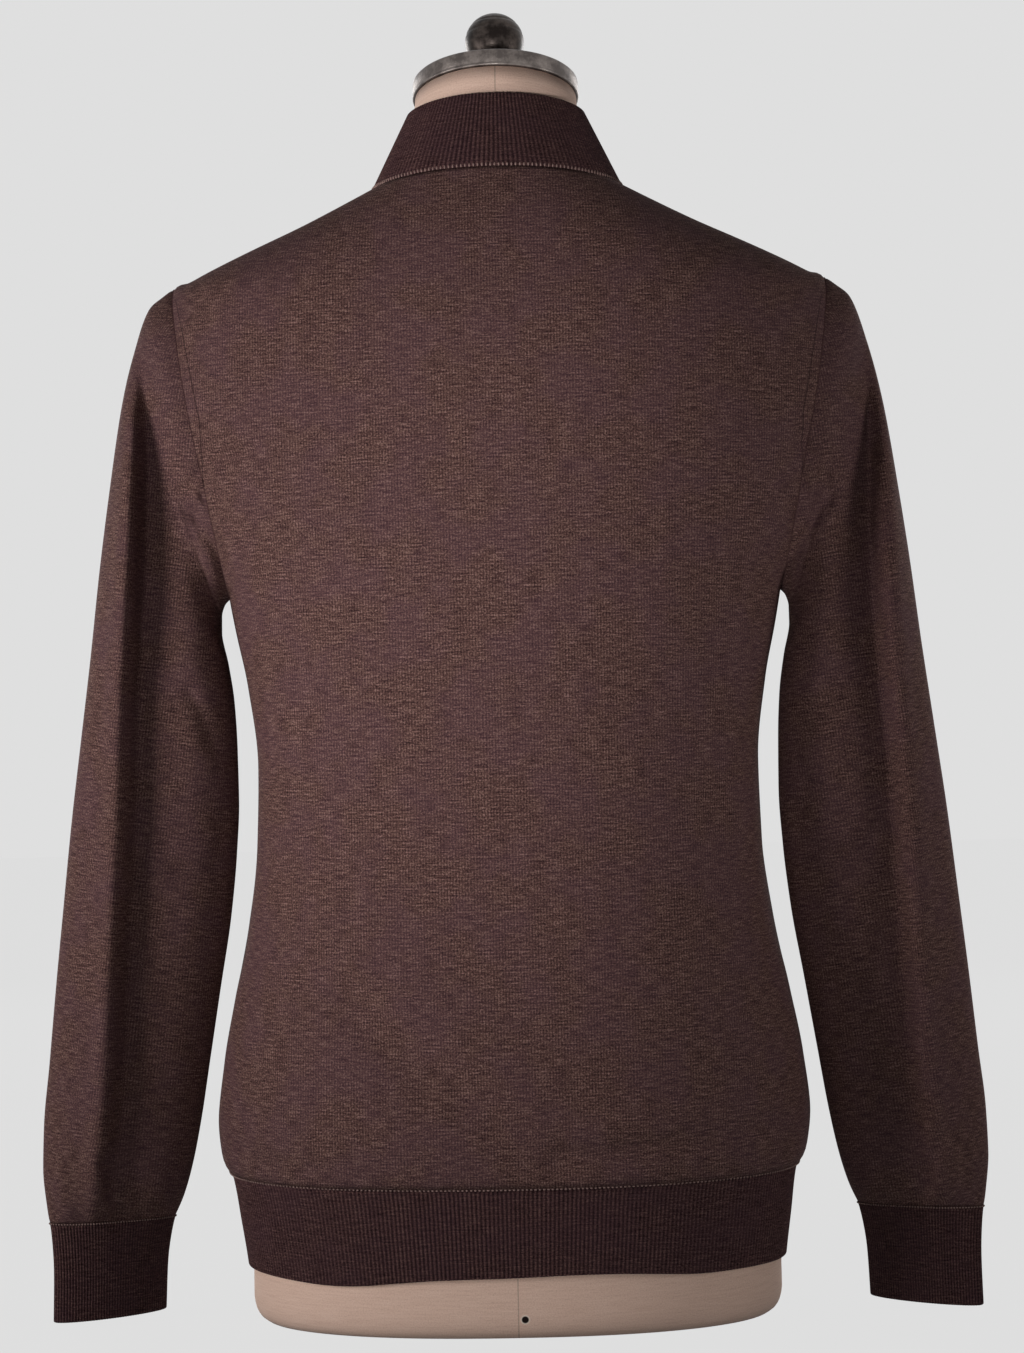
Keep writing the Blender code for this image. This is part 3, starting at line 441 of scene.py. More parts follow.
def fold_sink(points: Array, folds: tuple[Fold, ...], back: Array) -> Array:
    """How far folds draw the cloth in.

    Args:
        points: Points of the cloth.
        folds: The folds to add up.
        back: True for each point on the back half.

    Returns:
        The depth at each point. It fades out at the ends of a fold.
    """
    sink = np.zeros(points.shape[:-1])
    for fold in folds:
        path = np.array(fold.path, dtype=float)
        away = np.full(sink.shape, np.inf)
        for start, end in zip(path, path[1:]):
            run = end - start
            reach = (points[..., 0] - start[0]) * run[0] + (points[..., 2] - start[1]) * run[1]
            t = np.clip(reach / (run @ run), 0, 1)
            gap_x = points[..., 0] - start[0] - t * run[0]
            gap_z = points[..., 2] - start[1] - t * run[1]
            away = np.minimum(away, np.hypot(gap_x, gap_z))
        on_face = back if fold.face is Face.BACK else ~back
        sink += np.where(on_face, fold.depth * bell(away, fold.half_width), 0)
    return sink


DRAPE_FADE = 30.0


def drape(points: Array, folds: tuple[Fold, ...]) -> Array:
    """Shift along Y of folds that cross a seam. It fades where the cloth turns to the side."""
    depth = points[..., 1]
    sink = fold_sink(points, folds, depth >= 0)
    return -np.copysign(sink, depth) * np.clip(np.abs(depth) / DRAPE_FADE, 0, 1)


@dataclass(frozen=True)
class ShoulderLift:
    """Rise of the cloth over the end of each shoulder, on both sides of the armhole seam."""

    rise: float = 3.6
    place_x: float = 204.0
    reach_x: float = 6.5
    reach_y: float = 42.0
    start_z: float = 560.0
    growth_z: float = 60.0

    def at(self, points: Array) -> Array:
        """The rise at points of a panel or a sleeve."""
        beside = bell(np.abs(points[..., 0]) - self.place_x, self.reach_x)
        high = np.clip((points[..., 2] - self.start_z) / self.growth_z, 0, 1)
        return self.rise * beside * high * bell(points[..., 1], self.reach_y)


SHOULDER_LIFT = ShoulderLift()


class BodyForm:
    """The sweater's outer surface, from the hem to the neckline."""

    def edge_y(self, height: Array) -> Array:
        """Half-depth of the armhole at a height, and half a seam gap above and below it."""
        reach = np.clip((height - CUT.armpit) / (CUT.shoulder_tip - CUT.armpit), 0, 1)
        round_depth = CUT.armhole_half_depth * np.sin(np.arccos(1 - 2 * reach))
        return np.maximum(CUT.seam_gap / 2, round_depth)

    def half_width(self, height: Array, depth: Array) -> Array:
        """Half-width of the section whose side edge and armhole are given."""
        share = (self.edge_y(height) / depth) ** CUT.roundness
        return BODY_TABLE.read("edge_x", height) / (1 - share) ** (1 / CUT.roundness)

    def point(self, height: Array, turn: Array) -> Array:
        """Points of the smooth surface.

        Args:
            height: Heights of the sections.
            turn: Turns from +X round by the back.

        Returns:
            The points, broadcast from both.
        """
        height, turn = paired(height, turn)
        back = np.sin(turn) >= 0
        depth = np.where(
            back, BODY_TABLE.read("back_depth", height), BODY_TABLE.read("front_depth", height)
        )
        yoke = np.clip((height - CUT.shoulder_tip) / (CUT.neckline - CUT.shoulder_tip), 0, None)
        lift = np.where(back, CUT.neck_back_rise, -CUT.neck_front_drop)
        rise = yoke * lift * np.sin(turn) ** 2
        return stack(*oval(self.half_width(height, depth), depth, turn), height + rise)

    def edge_turn(self, height: Array, face: Face) -> Array:
        """Turn at which a panel ends, at the seam on the wearer's left."""
        column = "back_depth" if face is Face.BACK else "front_depth"
        depth = BODY_TABLE.read(column, height)
        turn = np.arcsin((self.edge_y(height) / depth) ** (CUT.roundness / 2))
        return face.value * turn

    def centre_turn(self, height: Array, x: float) -> Array:
        """Turn at which the front stands at a small distance from the zip."""
        depth = BODY_TABLE.read("front_depth", height)
        return turn_beside(self.half_width(height, depth), x)


def turn_beside(half_width: Array, x: float) -> Array:
    """Turn at which a section stands at a small distance x from the zip's middle."""
    return -np.arccos((x / half_width) ** (CUT.roundness / 2))


BODY_FORM = BodyForm()


@dataclass(frozen=True)
class Blouse:
    """How the body's cloth swells just above the hem, most at the wearer's left."""

    swell: float = 2.4
    left_swell: float = 2.2
    left_x: float = 140.0
    left_reach: float = 60.0
    fade: float = 34.0
    onset: float = 1.6

    def lift(self, points: Array) -> Array:
        """Outward lift of the cloth, as a vector, at points of the body or hem."""
        left = self.left_swell * bell(points[..., 0] - self.left_x, self.left_reach)
        above = bell(np.maximum(points[..., 2] - CUT.hem_top, 0), self.fade)
        below = np.clip((points[..., 2] - CUT.hem_bottom) / (CUT.hem_top - CUT.hem_bottom), 0, 1)
        size = (self.swell + left) * above * below**self.onset
        return unit(points * (1, 1, 0)) * size[..., None]


BLOUSE = Blouse()


class CollarForm:
    """The stand collar's outer surface, from the neckline (0) to its top edge (1)."""

    def centre_turn(self, share: Array, x: float) -> Array:
        """Turn beside the zip at a share of the collar's height."""
        foot = float(BODY_TABLE.read("edge_x", CUT.neckline))
        return turn_beside(foot + (CUT.collar_half_width - foot) * np.asarray(share), x)

    def opened(self, share: Array, turn: Array) -> Array:
        """A turn opened out up the narrowing collar, so that its front edges stay parallel."""
        foot = self.centre_turn(np.zeros(1), CUT.front_edge_x)
        here = self.centre_turn(np.clip(share, 0, 1), CUT.front_edge_x)
        return pi / 2 + (turn - pi / 2) * (pi / 2 - here) / (pi / 2 - foot)

    def smooth(self, share: Array | float, turn: Array) -> Array:
        """Points of the surface by share and true turn."""
        share, turn = paired(share, turn)
        back = np.sin(turn) >= 0
        foot = BODY_FORM.point(np.full(turn.shape, CUT.neckline), turn)
        depth = np.where(back, CUT.collar_back, CUT.collar_front)
        rise = np.where(back, CUT.collar_back_z, CUT.collar_front_z) - CUT.collar_side_z
        height = CUT.collar_side_z + rise * np.sin(turn) ** 2
        top = stack(*oval(CUT.collar_half_width, depth, turn), height)
        return foot + (top - foot) * share[..., None]

    def point(self, share: Array | float, turn: Array) -> Array:
        """Points of the collar band, a seam gap above the neckline."""
        raised = CUT.collar_foot_share + (1 - CUT.collar_foot_share) * np.asarray(share)
        return self.smooth(raised, self.opened(raised, turn))


COLLAR_FORM = CollarForm()


class Wave(NamedTuple):
    """A wave of the hem's bottom edge."""

    face: Face
    x: float
    reach: float
    drop: float


@dataclass(frozen=True)
class HemForm:
    """The hem band's outer surface, from its waving bottom edge (0) to its top (1)."""

    waves: tuple[Wave, ...] = (
        Wave(Face.BACK, 108.0, 42.0, 4.4),
        Wave(Face.BACK, -45.0, 45.0, -1.6),
        Wave(Face.BACK, -112.0, 26.0, 1.2),
        Wave(Face.FRONT, 78.0, 40.0, 2.6),
        Wave(Face.FRONT, -88.0, 34.0, 2.0),
    )

    def point(self, share: Array | float, turn: Array) -> Array:
        """Points of the band, with the body's swell at its top."""
        share, turn = paired(share, turn)
        height = CUT.hem_bottom + (CUT.hem_top - CUT.hem_bottom) * share
        points = BODY_FORM.point(height, turn)
        rise = CUT.hem_back_rise * np.maximum(0, np.sin(turn)) ** 2
        for wave in self.waves:
            near = bell(points[..., 0] - wave.x, wave.reach)
            rise = rise - wave.drop * near * (np.sin(turn) * wave.face.value > 0)
        points[..., 2] += rise * (1 - share)
        return points + BLOUSE.lift(points)


@dataclass(frozen=True)
class SleeveForm:
    """The outer surface of one sleeve and its cuff, made on the wearer's left."""

    side: Side
    folds: tuple[Fold, ...]
    arm_folds: tuple[Fold, ...]
    valley_wall: float = 5.5
    ridge_share: float = 0.35
    ridge_place: float = 13.0
    ridge_width: float = 8.0
    back_onset: float = 3.0
    puff: float = 1.6
    puff_length: float = 9.0
    fall: float = 0.2
    fall_start: float = 40.0
    fall_end: float = 170.0
    fall_fade: float = 110.0
    head_length: float = 45.0
    front_spreads: tuple[float, float] = (0.3, 0.62)
    front_ratio: float = 0.55
    blend_length: float = 60.0

    def front_sink(self, turn: Array, depth: Array) -> Array:
        """Depth of the soft hollow down the sleeve's front."""
        away = np.arccos(np.clip(np.cos(turn), -1, 1)) - pi / 2
        spread = np.where(away > 0, *self.front_spreads)
        size = np.where(np.sin(turn) >= 0, 0, self.front_ratio * depth)
        return size * bell(away, spread)

    def valley(self, points: Array, along: Array, turn: Array) -> Array:
        """Depth of the long valley down the back, under the ridge along its steep outer wall."""
        height = points[..., 2]
        away = points[..., 0] - VALLEY_TABLE.read(f"{self.side.suffix}_x", height)
        spread = np.where(away > 0, self.valley_wall, VALLEY_TABLE.read("floor", height))
        behind = np.clip(self.back_onset * np.sin(turn), 0, 1)
        free = np.clip(along / self.head_length, 0, 1) * behind
        ridge = self.ridge_share * bell(away - self.ridge_place, self.ridge_width)
        return VALLEY_TABLE.read("depth", height) * free * (bell(away, spread) - ridge)

    def ring(self, along: Array, turn: Array) -> Array:
        """Points of the sleeve's rings, whose turn runs from the inner end by the back."""
        along, turn = paired(along, turn)
        row = {name: SLEEVE_TABLE.read(name, along) for name in SleeveRow._fields[1:]}
        outer = stack(row["outer_x"], row["outer_y"], row["outer_z"])
        inner = stack(row["inner_x"], row["inner_y"], row["inner_z"])
        half = (outer - inner) / 2
        depth_way = unit(stack(-half[..., 1], half[..., 0], 0 * half[..., 0]))
        depth = np.where(np.sin(turn) >= 0, row["back"], row["front"])
        depth = depth - self.front_sink(turn, row["valley"])
        swing = (depth * np.sin(turn))[..., None]
        return (outer + inner) / 2 - half * np.cos(turn)[..., None] + depth_way * swing

    def armhole(self, turn: Array) -> Array:
        """Points of the armhole seam. A turn runs from the armpit round by the back."""
        height = CUT.armpit + (CUT.shoulder_tip - CUT.armpit) * (1 - np.cos(turn)) / 2
        back = np.sin(turn) >= 0
        edge = np.where(
            back, BODY_FORM.edge_turn(height, Face.BACK), BODY_FORM.edge_turn(height, Face.FRONT)
        )
        return BODY_FORM.point(height, edge)

    def point(self, along: Array | float, turn: Array) -> Array:
        """Points of the sleeve, drawn to the armhole seam near its first ring."""
        along, turn = paired(along, turn)
        points = self.ring(along, turn)
        fall = np.clip(along / self.fall_start, 0, 1)
        fall = fall * np.clip((self.fall_end - along) / self.fall_fade, 0, 1)
        points[..., 1] *= 1 - self.fall * fall
        pull = np.clip(1 - along / self.blend_length, 0, 1) ** 2
        points += (self.armhole(turn) - self.ring(np.zeros(turn.shape), turn)) * pull[..., None]
        points[..., 0] += CUT.armhole_gap
        points[..., 1] += drape(points, self.arm_folds) - self.valley(points, along, turn)
        near = along / self.puff_length
        puff = self.puff * near * np.exp(1 - near) * np.clip(-np.cos(turn), 0, 1) ** 2
        points[..., 2] += puff + SHOULDER_LIFT.at(points)
        return points

    def cuff(self, share: Array | float, turn: Array) -> Array:
        """Points of the cuff, from the sleeve (0) to the hand (1)."""
        return self.point(CUT.cuff_start + (CUT.cuff_end - CUT.cuff_start) * share, turn)


# ---- materials --------------------------------------------------------------------------

def linear(code: str) -> tuple[float, float, float, float]:
    """Linear colour of an sRGB hex code."""
    parts = [int(code[i:i + 2], 16) / 255 for i in (1, 3, 5)]
    red, green, blue = (
        c / 12.92 if c <= 0.04045 else ((c + 0.055) / 1.055) ** 2.4 for c in parts
    )
    return (red, green, blue, 1.0)


@dataclass
class Shading:
    """A new material and its node tree."""

    name: str

    def __post_init__(self) -> None:
        """Make the material and find its shader."""
        self.material = bpy.data.materials.new(self.name)
        self.material.use_nodes = True
        self.tree = self.material.node_tree
        self.shader = self.tree.nodes["Principled BSDF"]

    def add(
        self, kind: str, inputs: Inputs, output: str | int = 0, **settings: Any,
    ) -> Socket:
        """Add a node with its settings and links.

        Args:
            kind: The node's type, without its first words.
            inputs: Values, sockets or hex codes, by the input's name or number or in order.
            output: The output that is wanted, by its name or number.
            settings: The node's own properties.

        Returns:
            The output.
        """
        made = self.tree.nodes.new(f"ShaderNode{kind}")
        for key, value in settings.items():
            setattr(made, key, value)
        self.set(made, inputs)
        return made.outputs[output]

    def set(self, node: bpy.types.Node, inputs: Inputs) -> None:
        """Link or set a node's inputs. A hex code is a colour."""
        for key, value in inputs.items() if isinstance(inputs, dict) else enumerate(inputs):
            if isinstance(value, Socket):
                self.tree.links.new(value, node.inputs[key])
            else:
                node.inputs[key].default_value = linear(value) if isinstance(value, str) else value

    def cloth(self, across: float = 1.0, up: float = 1.0) -> Socket:
        """The piece's own cloth map in millimetres, stretched."""
        flat = self.add("UVMap", (), "UV", uv_map=CLOTH_UV)
        return self.add("Mapping", {"Vector": flat, "Scale": (1 / across, 1 / up, 1)})

    def finish(
        self, colour: Socket, height: Socket, strength: float, deep: float, **inputs: Any,
    ) -> Finish:
        """Link colour and relief to the shader.

        Args:
            colour: The base colour.
            height: The relief.
            strength: The relief's strength.
            deep: The relief's depth, in millimetres.
            inputs: The shader's other inputs, with _ for each space.

        Returns:
            The material.
        """
        relief = {"Height": height, "Strength": strength, "Distance": deep * MM}
        bump = self.add("Bump", relief, "Normal")
        self.set(self.shader, {"Base Color": colour, "Normal": bump})
        self.set(self.shader, {key.replace("_", " "): value for key, value in inputs.items()})
        return self.material


def set_stops(colour: Socket, stops: tuple[tuple[float, str], ...]) -> None:
    """Give the colour ramp behind a socket its stops, each a place and an sRGB code."""
    elements = colour.node.color_ramp.elements
    while len(elements) < len(stops):
        elements.new(0.5)
    for element, (place, code) in zip(elements, stops):
        element.position, element.color = place, linear(code)


@dataclass(frozen=True)
class Speckle:
    """Soft random marks of a size, with finer marks inside them."""

    size: float = 1.0
    detail: float = 3.0
    rough: float = 0.7

    def at(self, where: Socket) -> Inputs:
        """The inputs that lay the marks on a surface's coordinates."""
        return {
            "Vector": where, "Scale": 1 / self.size, "Detail": self.detail,
            "Roughness": self.rough,
        }


@dataclass(frozen=True)
class MelangeKnit:
    """Fine-gauge knit of carded brown wool yarn, spun from fibres of several shades.

    The flecks give a salt-and-pepper look, the uneven yarn gives faint level streaks, and
    the wales give fine upright lines. Wool is matt, with a little sheen at a glance. The
    real wale is 1.4 mm wide and is drawn coarser, because it is too fine to show.
    """

    name: str
    shades: tuple[str, str, str, str]
    plum: str
    wale: float
    wale_depth: float
    fleck: Speckle = Speckle(1.1, detail=2.0, rough=0.8)
    streak: Speckle = Speckle(detail=2.0)
    streak_size: tuple[float, float] = (11.0, 1.1)
    cloud: Speckle = Speckle(42.0, detail=2.0, rough=0.6)
    plum_share: float = 0.5
    # How strongly the fashioning line is painted darker: painted shade.
    fashioning_painted_shade: float = 0.0
    fashioning_place: float = 9.0
    bump: float = 0.5
    roughness: float = 0.9
    sheen: float = 0.04
    sheen_roughness: float = 0.5
    specular: float = 0.04
    relief: float = 0.6
    fleck_weight: float = 0.62
    streak_weight: float = 0.38
    shade_places: tuple[float, float, float, float] = (0.37, 0.47, 0.53, 0.64)
    cloud_range: tuple[float, float] = (0.42, 0.6)
    fashioning_edge: tuple[float, float] = (0.2, 0.8)

    def make(self) -> Finish:
        """The knit's material."""
        knit = Shading(self.name)
        cloth = knit.cloth()
        fleck = knit.add("TexNoise", self.fleck.at(cloth), "Fac")
        streak = knit.add("TexNoise", self.streak.at(knit.cloth(*self.streak_size)), "Fac")
        across = knit.add("SeparateXYZ", (cloth,), "X")
        phase = knit.add("Math", (across, 2 * pi / self.wale), operation="MULTIPLY")
        wale = knit.add("Math", (phase,), operation="COSINE")
        wale = knit.add("Math", (wale, -self.wale_depth), operation="MULTIPLY")
        lines = knit.add("Math", (streak, self.streak_weight, wale), operation="MULTIPLY_ADD")
        tone = knit.add("Math", (fleck, self.fleck_weight, lines), operation="MULTIPLY_ADD")
        colour = knit.add("ValToRGB", (tone,), "Color")
        set_stops(colour, tuple(zip(self.shade_places, self.shades)))
        cloud = knit.add("TexNoise", self.cloud.at(cloth), "Fac")
        patch = knit.add("MapRange", (cloud, *self.cloud_range, 0, self.plum_share))
        plum = knit.add("Mix", {0: 0.5, 6: colour, 7: self.plum}, 2, data_type="RGBA")
        colour = knit.add("Mix", {0: patch, 6: colour, 7: plum}, 2, data_type="RGBA")
        # The fashioning marks are real. The line's darker colour is painted shade of their stitches,
        # laid over a small sunk relief.
        if self.fashioning_painted_shade:
            mark = knit.add("Attribute", (), "Fac", attribute_name=SEAM_MARK)
            away = knit.add("Math", (mark, self.fashioning_place), operation="SUBTRACT")
            away = knit.add("Math", (away,), operation="ABSOLUTE")
            line = knit.add("MapRange", (away, *self.fashioning_edge, self.fashioning_painted_shade, 0))
            dark = self.shades[0]
            colour = knit.add("Mix", {0: line, 6: colour, 7: dark}, 2, data_type="RGBA")
            tone = knit.add("Math", (tone, line), operation="SUBTRACT")
        return knit.finish(
            colour, tone, self.bump, self.relief,
            Roughness=self.roughness, Specular_IOR_Level=self.specular,
            Sheen_Weight=self.sheen, Sheen_Roughness=self.sheen_roughness,
            Sheen_Tint=self.shades[3],
        )


@dataclass(frozen=True)
class StretchedLinen:
    """Cream linen stretched over the padded form and glued: plain weave with level slubs.

    A seam runs down the form's centre back, with a small eyelet beside it near the foot.
    """

    name: str = "linen_stretched_plain_weave"
    thread: Speckle = Speckle(0.9, detail=2.0)
    thread_weight: float = 0.65
    slub: Speckle = Speckle(rough=0.6)
    slub_size: tuple[float, float] = (22.0, 1.3)
    slub_weight: float = 0.35
    shades: tuple[tuple[float, str], ...] = (
        (0.32, "#d8b29f"), (0.5, "#eac7b4"), (0.68, "#f4d5c4"),
    )
    seam_half_width: float = 0.5
    seam_share: float = 0.45
    seam_shade: str = "#8f7463"
    eyelet_place: tuple[float, float] = (4.0, 15.0)
    eyelet_rim: tuple[float, float] = (2.9, 3.2)
    eyelet_rim_shade: str = "#f3dccd"
    # The hole's near-black is painted shade inside the eyelet.
    eyelet_hole: tuple[float, float] = (1.9, 2.3)
    eyelet_hole_painted_shade: str = "#1c1311"
    bump: float = 0.3
    relief: float = 0.4
    roughness: float = 0.85
    specular: float = 0.05
    sheen: float = 0.03

    def make(self) -> Finish:
        """The linen's material, whose seam and eyelet lie by their places on its map."""
        linen = Shading(self.name)
        cloth = linen.cloth()
        slub = linen.add("TexNoise", self.slub.at(linen.cloth(*self.slub_size)), "Fac")
        weave = linen.add("TexNoise", self.thread.at(cloth), "Fac")
        threads = linen.add("Math", (weave, self.thread_weight), operation="MULTIPLY")
        tone = linen.add("Math", (slub, self.slub_weight, threads), operation="MULTIPLY_ADD")
        colour = linen.add("ValToRGB", (tone,), "Color")
        set_stops(colour, self.shades)
        across = linen.add("SeparateXYZ", (cloth,), "X")
        across = linen.add("Math", (across,), operation="ABSOLUTE")
        place = (*self.eyelet_place, 0)
        radius = linen.add("VectorMath", (cloth, place), "Value", operation="DISTANCE")
        half = self.seam_half_width
        seam = linen.add("MapRange", (across, half / 2, half, self.seam_share, 0))
        rim = linen.add("MapRange", (radius, *self.eyelet_rim, 1, 0))
        hole = linen.add("MapRange", (radius, *self.eyelet_hole, 1, 0))
        # The seam's darker line is its real joint. The eyelet hole's near-black is painted shade.
        shades = (self.seam_shade, self.eyelet_rim_shade, self.eyelet_hole_painted_shade)
        for mark, shade in zip((seam, rim, hole), shades):
            colour = linen.add("Mix", {0: mark, 6: colour, 7: shade}, 2, data_type="RGBA")
        height = linen.add("Math", (tone, seam), operation="SUBTRACT")
        height = linen.add("Math", (height, hole), operation="SUBTRACT")
        return linen.finish(
            colour, height, self.bump, self.relief, Roughness=self.roughness,
            Specular_IOR_Level=self.specular, Sheen_Weight=self.sheen,
        )


@dataclass(frozen=True)
class AgedMetal:
    """Cast and turned metal, chemically darkened, and rubbed lighter in patches."""

    name: str
    dark: str
    worn: str
    roughness: float
    patch: float = 9.0
    patch_detail: float = 6.0
    grain: float = 0.8
    grain_spread: float = 0.3
    wear_range: tuple[float, float] = (0.42, 0.66)
    bump: float = 0.2
    relief: float = 0.3

    def make(self) -> Finish:
        """The metal's material, on the object's own coordinates."""
        metal = Shading(self.name)
        where = metal.add("TexCoord", (), "Object")
        grain = metal.add("TexNoise", Speckle(self.grain * MM).at(where), "Fac")
        patch = Speckle(self.patch * MM, self.patch_detail)
        wear = metal.add("MapRange", (metal.add("TexNoise", patch.at(where), "Fac"), *self.wear_range))
        smoothest = self.roughness - self.grain_spread / 2
        rough = metal.add("Math", (grain, self.grain_spread, smoothest), operation="MULTIPLY_ADD")
        colour = metal.add("Mix", {0: wear, 6: self.dark, 7: self.worn}, 2, data_type="RGBA")
        return metal.finish(
            colour, grain, self.bump, self.relief, Roughness=rough, Metallic=1.0,
        )


@dataclass(frozen=True)
class WovenTape:
    """Polyester zip tape in a herringbone weave, dyed dark. The weave is drawn coarser."""

    name: str = "zip_tape_woven_polyester"
    rib: float = 1.1
    low_shade: str = "#241a18"
    high_shade: str = "#3a2c29"
    bump: float = 0.4
    relief: float = 0.2
    roughness: float = 0.7

    def make(self) -> Finish:
        """The tape's material."""
        tape = Shading(self.name)
        across = tape.add("SeparateXYZ", (tape.cloth(),), "X")
        beside = tape.add("Math", (across,), operation="ABSOLUTE")
        climb = tape.add("Math", (across.node.outputs["Y"], beside), operation="ADD")
        phase = tape.add("Math", (climb, 2 * pi / self.rib), operation="MULTIPLY")
        twill = tape.add("MapRange", (tape.add("Math", (phase,), operation="SINE"), -1, 1))
        shades = {0: twill, 6: self.low_shade, 7: self.high_shade}
        colour = tape.add("Mix", shades, 2, data_type="RGBA")
        return tape.finish(colour, twill, self.bump, self.relief, Roughness=self.roughness)


@dataclass(frozen=True)
class StudioPaper:
    """Pale matt paper that the studio's own light keeps even."""

    name: str
    glow: float
    albedo: float
    glow_shade: str = "#dfdfdf"

    def make(self) -> Finish:
        """The paper's material."""
        paper = Shading(self.name)
        grey = (self.albedo, self.albedo, self.albedo, 1)
        paper.set(paper.shader, {
            "Base Color": grey, "Roughness": 1.0, "Specular IOR Level": 0.0,
            "Emission Color": self.glow_shade, "Emission Strength": self.glow,
        })
        return paper.material


@dataclass(frozen=True)
class Finishes:
    """Every finish of the object, made once."""

    jersey: Finish = field(default_factory=MelangeKnit(
        "jersey_melange_wool_knit", ("#27181a", "#4f3634", "#5f463f", "#91716b"), "#573c48",
        wale=1.8, wale_depth=0.03, fashioning_painted_shade=0.7,
    ).make)
    # The rib is the jersey's own yarn. Its shades are drawn darker than the jersey's: painted shade for
    # the shade in the rib's grooves.
    rib: Finish = field(default_factory=MelangeKnit(
        "rib_melange_wool_knit_painted_shade", ("#1f1213", "#402a2c", "#48302f", "#6c514d"), "#442d35",
        wale=2.0, wale_depth=0.05, bump=0.4,
    ).make)
    linking: Finish = field(default_factory=MelangeKnit(
        "linking_yarn_wool", ("#6c534d", "#8d726a", "#967b71", "#b89d93"), "#86707a",
        wale=0.7, wale_depth=0.0, fleck=Speckle(0.5, detail=2.0, rough=0.8),
    ).make)
    linen: Finish = field(default_factory=StretchedLinen().make)
    tape: Finish = field(default_factory=WovenTape().make)
    zip_metal: Finish = field(default_factory=AgedMetal(
        "zip_brass_blackened", dark="#3b3431", worn="#7b6f66", roughness=0.38, patch=3.0,
    ).make)
    cap_metal: Finish = field(default_factory=AgedMetal(
        "neck_cap_iron_aged", dark="#5a5350", worn="#857c77", roughness=0.42, bump=0.35,
    ).make)
    knob_metal: Finish = field(default_factory=AgedMetal(
        "knob_iron_blackened", dark="#26211f", worn="#4e4642", roughness=0.36,
    ).make)


# ---- making pieces ----------------------------------------------------------------------

def settle(
    name: str,
    bm: Mesh,
    finish: Finish,
    nodes: tuple[str, ...],
    wall: float = 0.0,
) -> Piece:
    """Make a piece of a bmesh in metres and tell the frame about it.

    Args:
        name: The piece's name.
        bm: The mesh, which is freed.
        finish: The material.
        nodes: The CAD nodes that the piece stands for.
        wall: The thickness that a sheet of cloth gets, inwards.

    Returns:
        The new object, at the origin.
    """
    mesh = bpy.data.meshes.new(name)
    bm.to_mesh(mesh)
    bm.free()
    mesh.shade_smooth()
    mesh.materials.append(finish)
    piece = bpy.data.objects.new(name, mesh)
    bpy.context.scene.collection.objects.link(piece)
    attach(piece, GARMENT)
    if nodes:
        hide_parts(*nodes)
    log.info("%s: %d faces", name, len(mesh.polygons))
    if wall:
        solid = piece.modifiers.new("wall", "SOLIDIFY")
        solid.thickness = wall * MM
        solid.offset = -1.0
    return piece


def close_rims(bm: Mesh) -> None:
    """Cap the open rims of a mesh and turn its faces outward."""
    rims = [edge for edge in bm.edges if edge.is_boundary]
    if rims:
        bmesh.ops.holes_fill(bm, edges=rims, sides=0)
    bmesh.ops.recalc_face_normals(bm, faces=bm.faces)


def cloth_grid(
    points: Array,
    across: Array,
    climb: Array,
    marks: Array | None = None,
) -> Mesh:
    """A sheet of quads through a grid of points.

    Args:
        points: Rows x columns of points, in millimetres.
        across: Each point's place across the cloth, in millimetres.
        climb: Its place up the cloth, in millimetres.
        marks: Each point's distance from an armhole seam, where the cloth has one.

    Returns:
        The sheet in metres, with equal points merged. Its faces look outward where the
        columns run anticlockwise and the rows rise.
    """
    rows, columns = points.shape[:2]
    bm = bmesh.new()
    cloth_map = bm.loops.layers.uv.new(CLOTH_UV)
    seam_mark = bm.verts.layers.float.new(SEAM_MARK)
    bmesh.ops.create_grid(bm, x_segments=columns - 1, y_segments=rows - 1, size=1)
    for vert in bm.verts:
        column = round((vert.co.x + 1) / 2 * (columns - 1))
        row = round((vert.co.y + 1) / 2 * (rows - 1))
        vert.index = row * columns + column
    where = points.reshape(-1, 3) * MM
    flat = np.stack(np.broadcast_arrays(across, climb), axis=-1).reshape(-1, 2)
    for face in bm.faces:
        for loop in face.loops:
            loop[cloth_map].uv = flat[loop.vert.index]
    for vert in bm.verts:
        vert.co = where[vert.index]
        vert[seam_mark] = FAR_AWAY if marks is None else marks.reshape(-1)[vert.index]
    bmesh.ops.remove_doubles(bm, verts=bm.verts, dist=1e-6)
    return bm


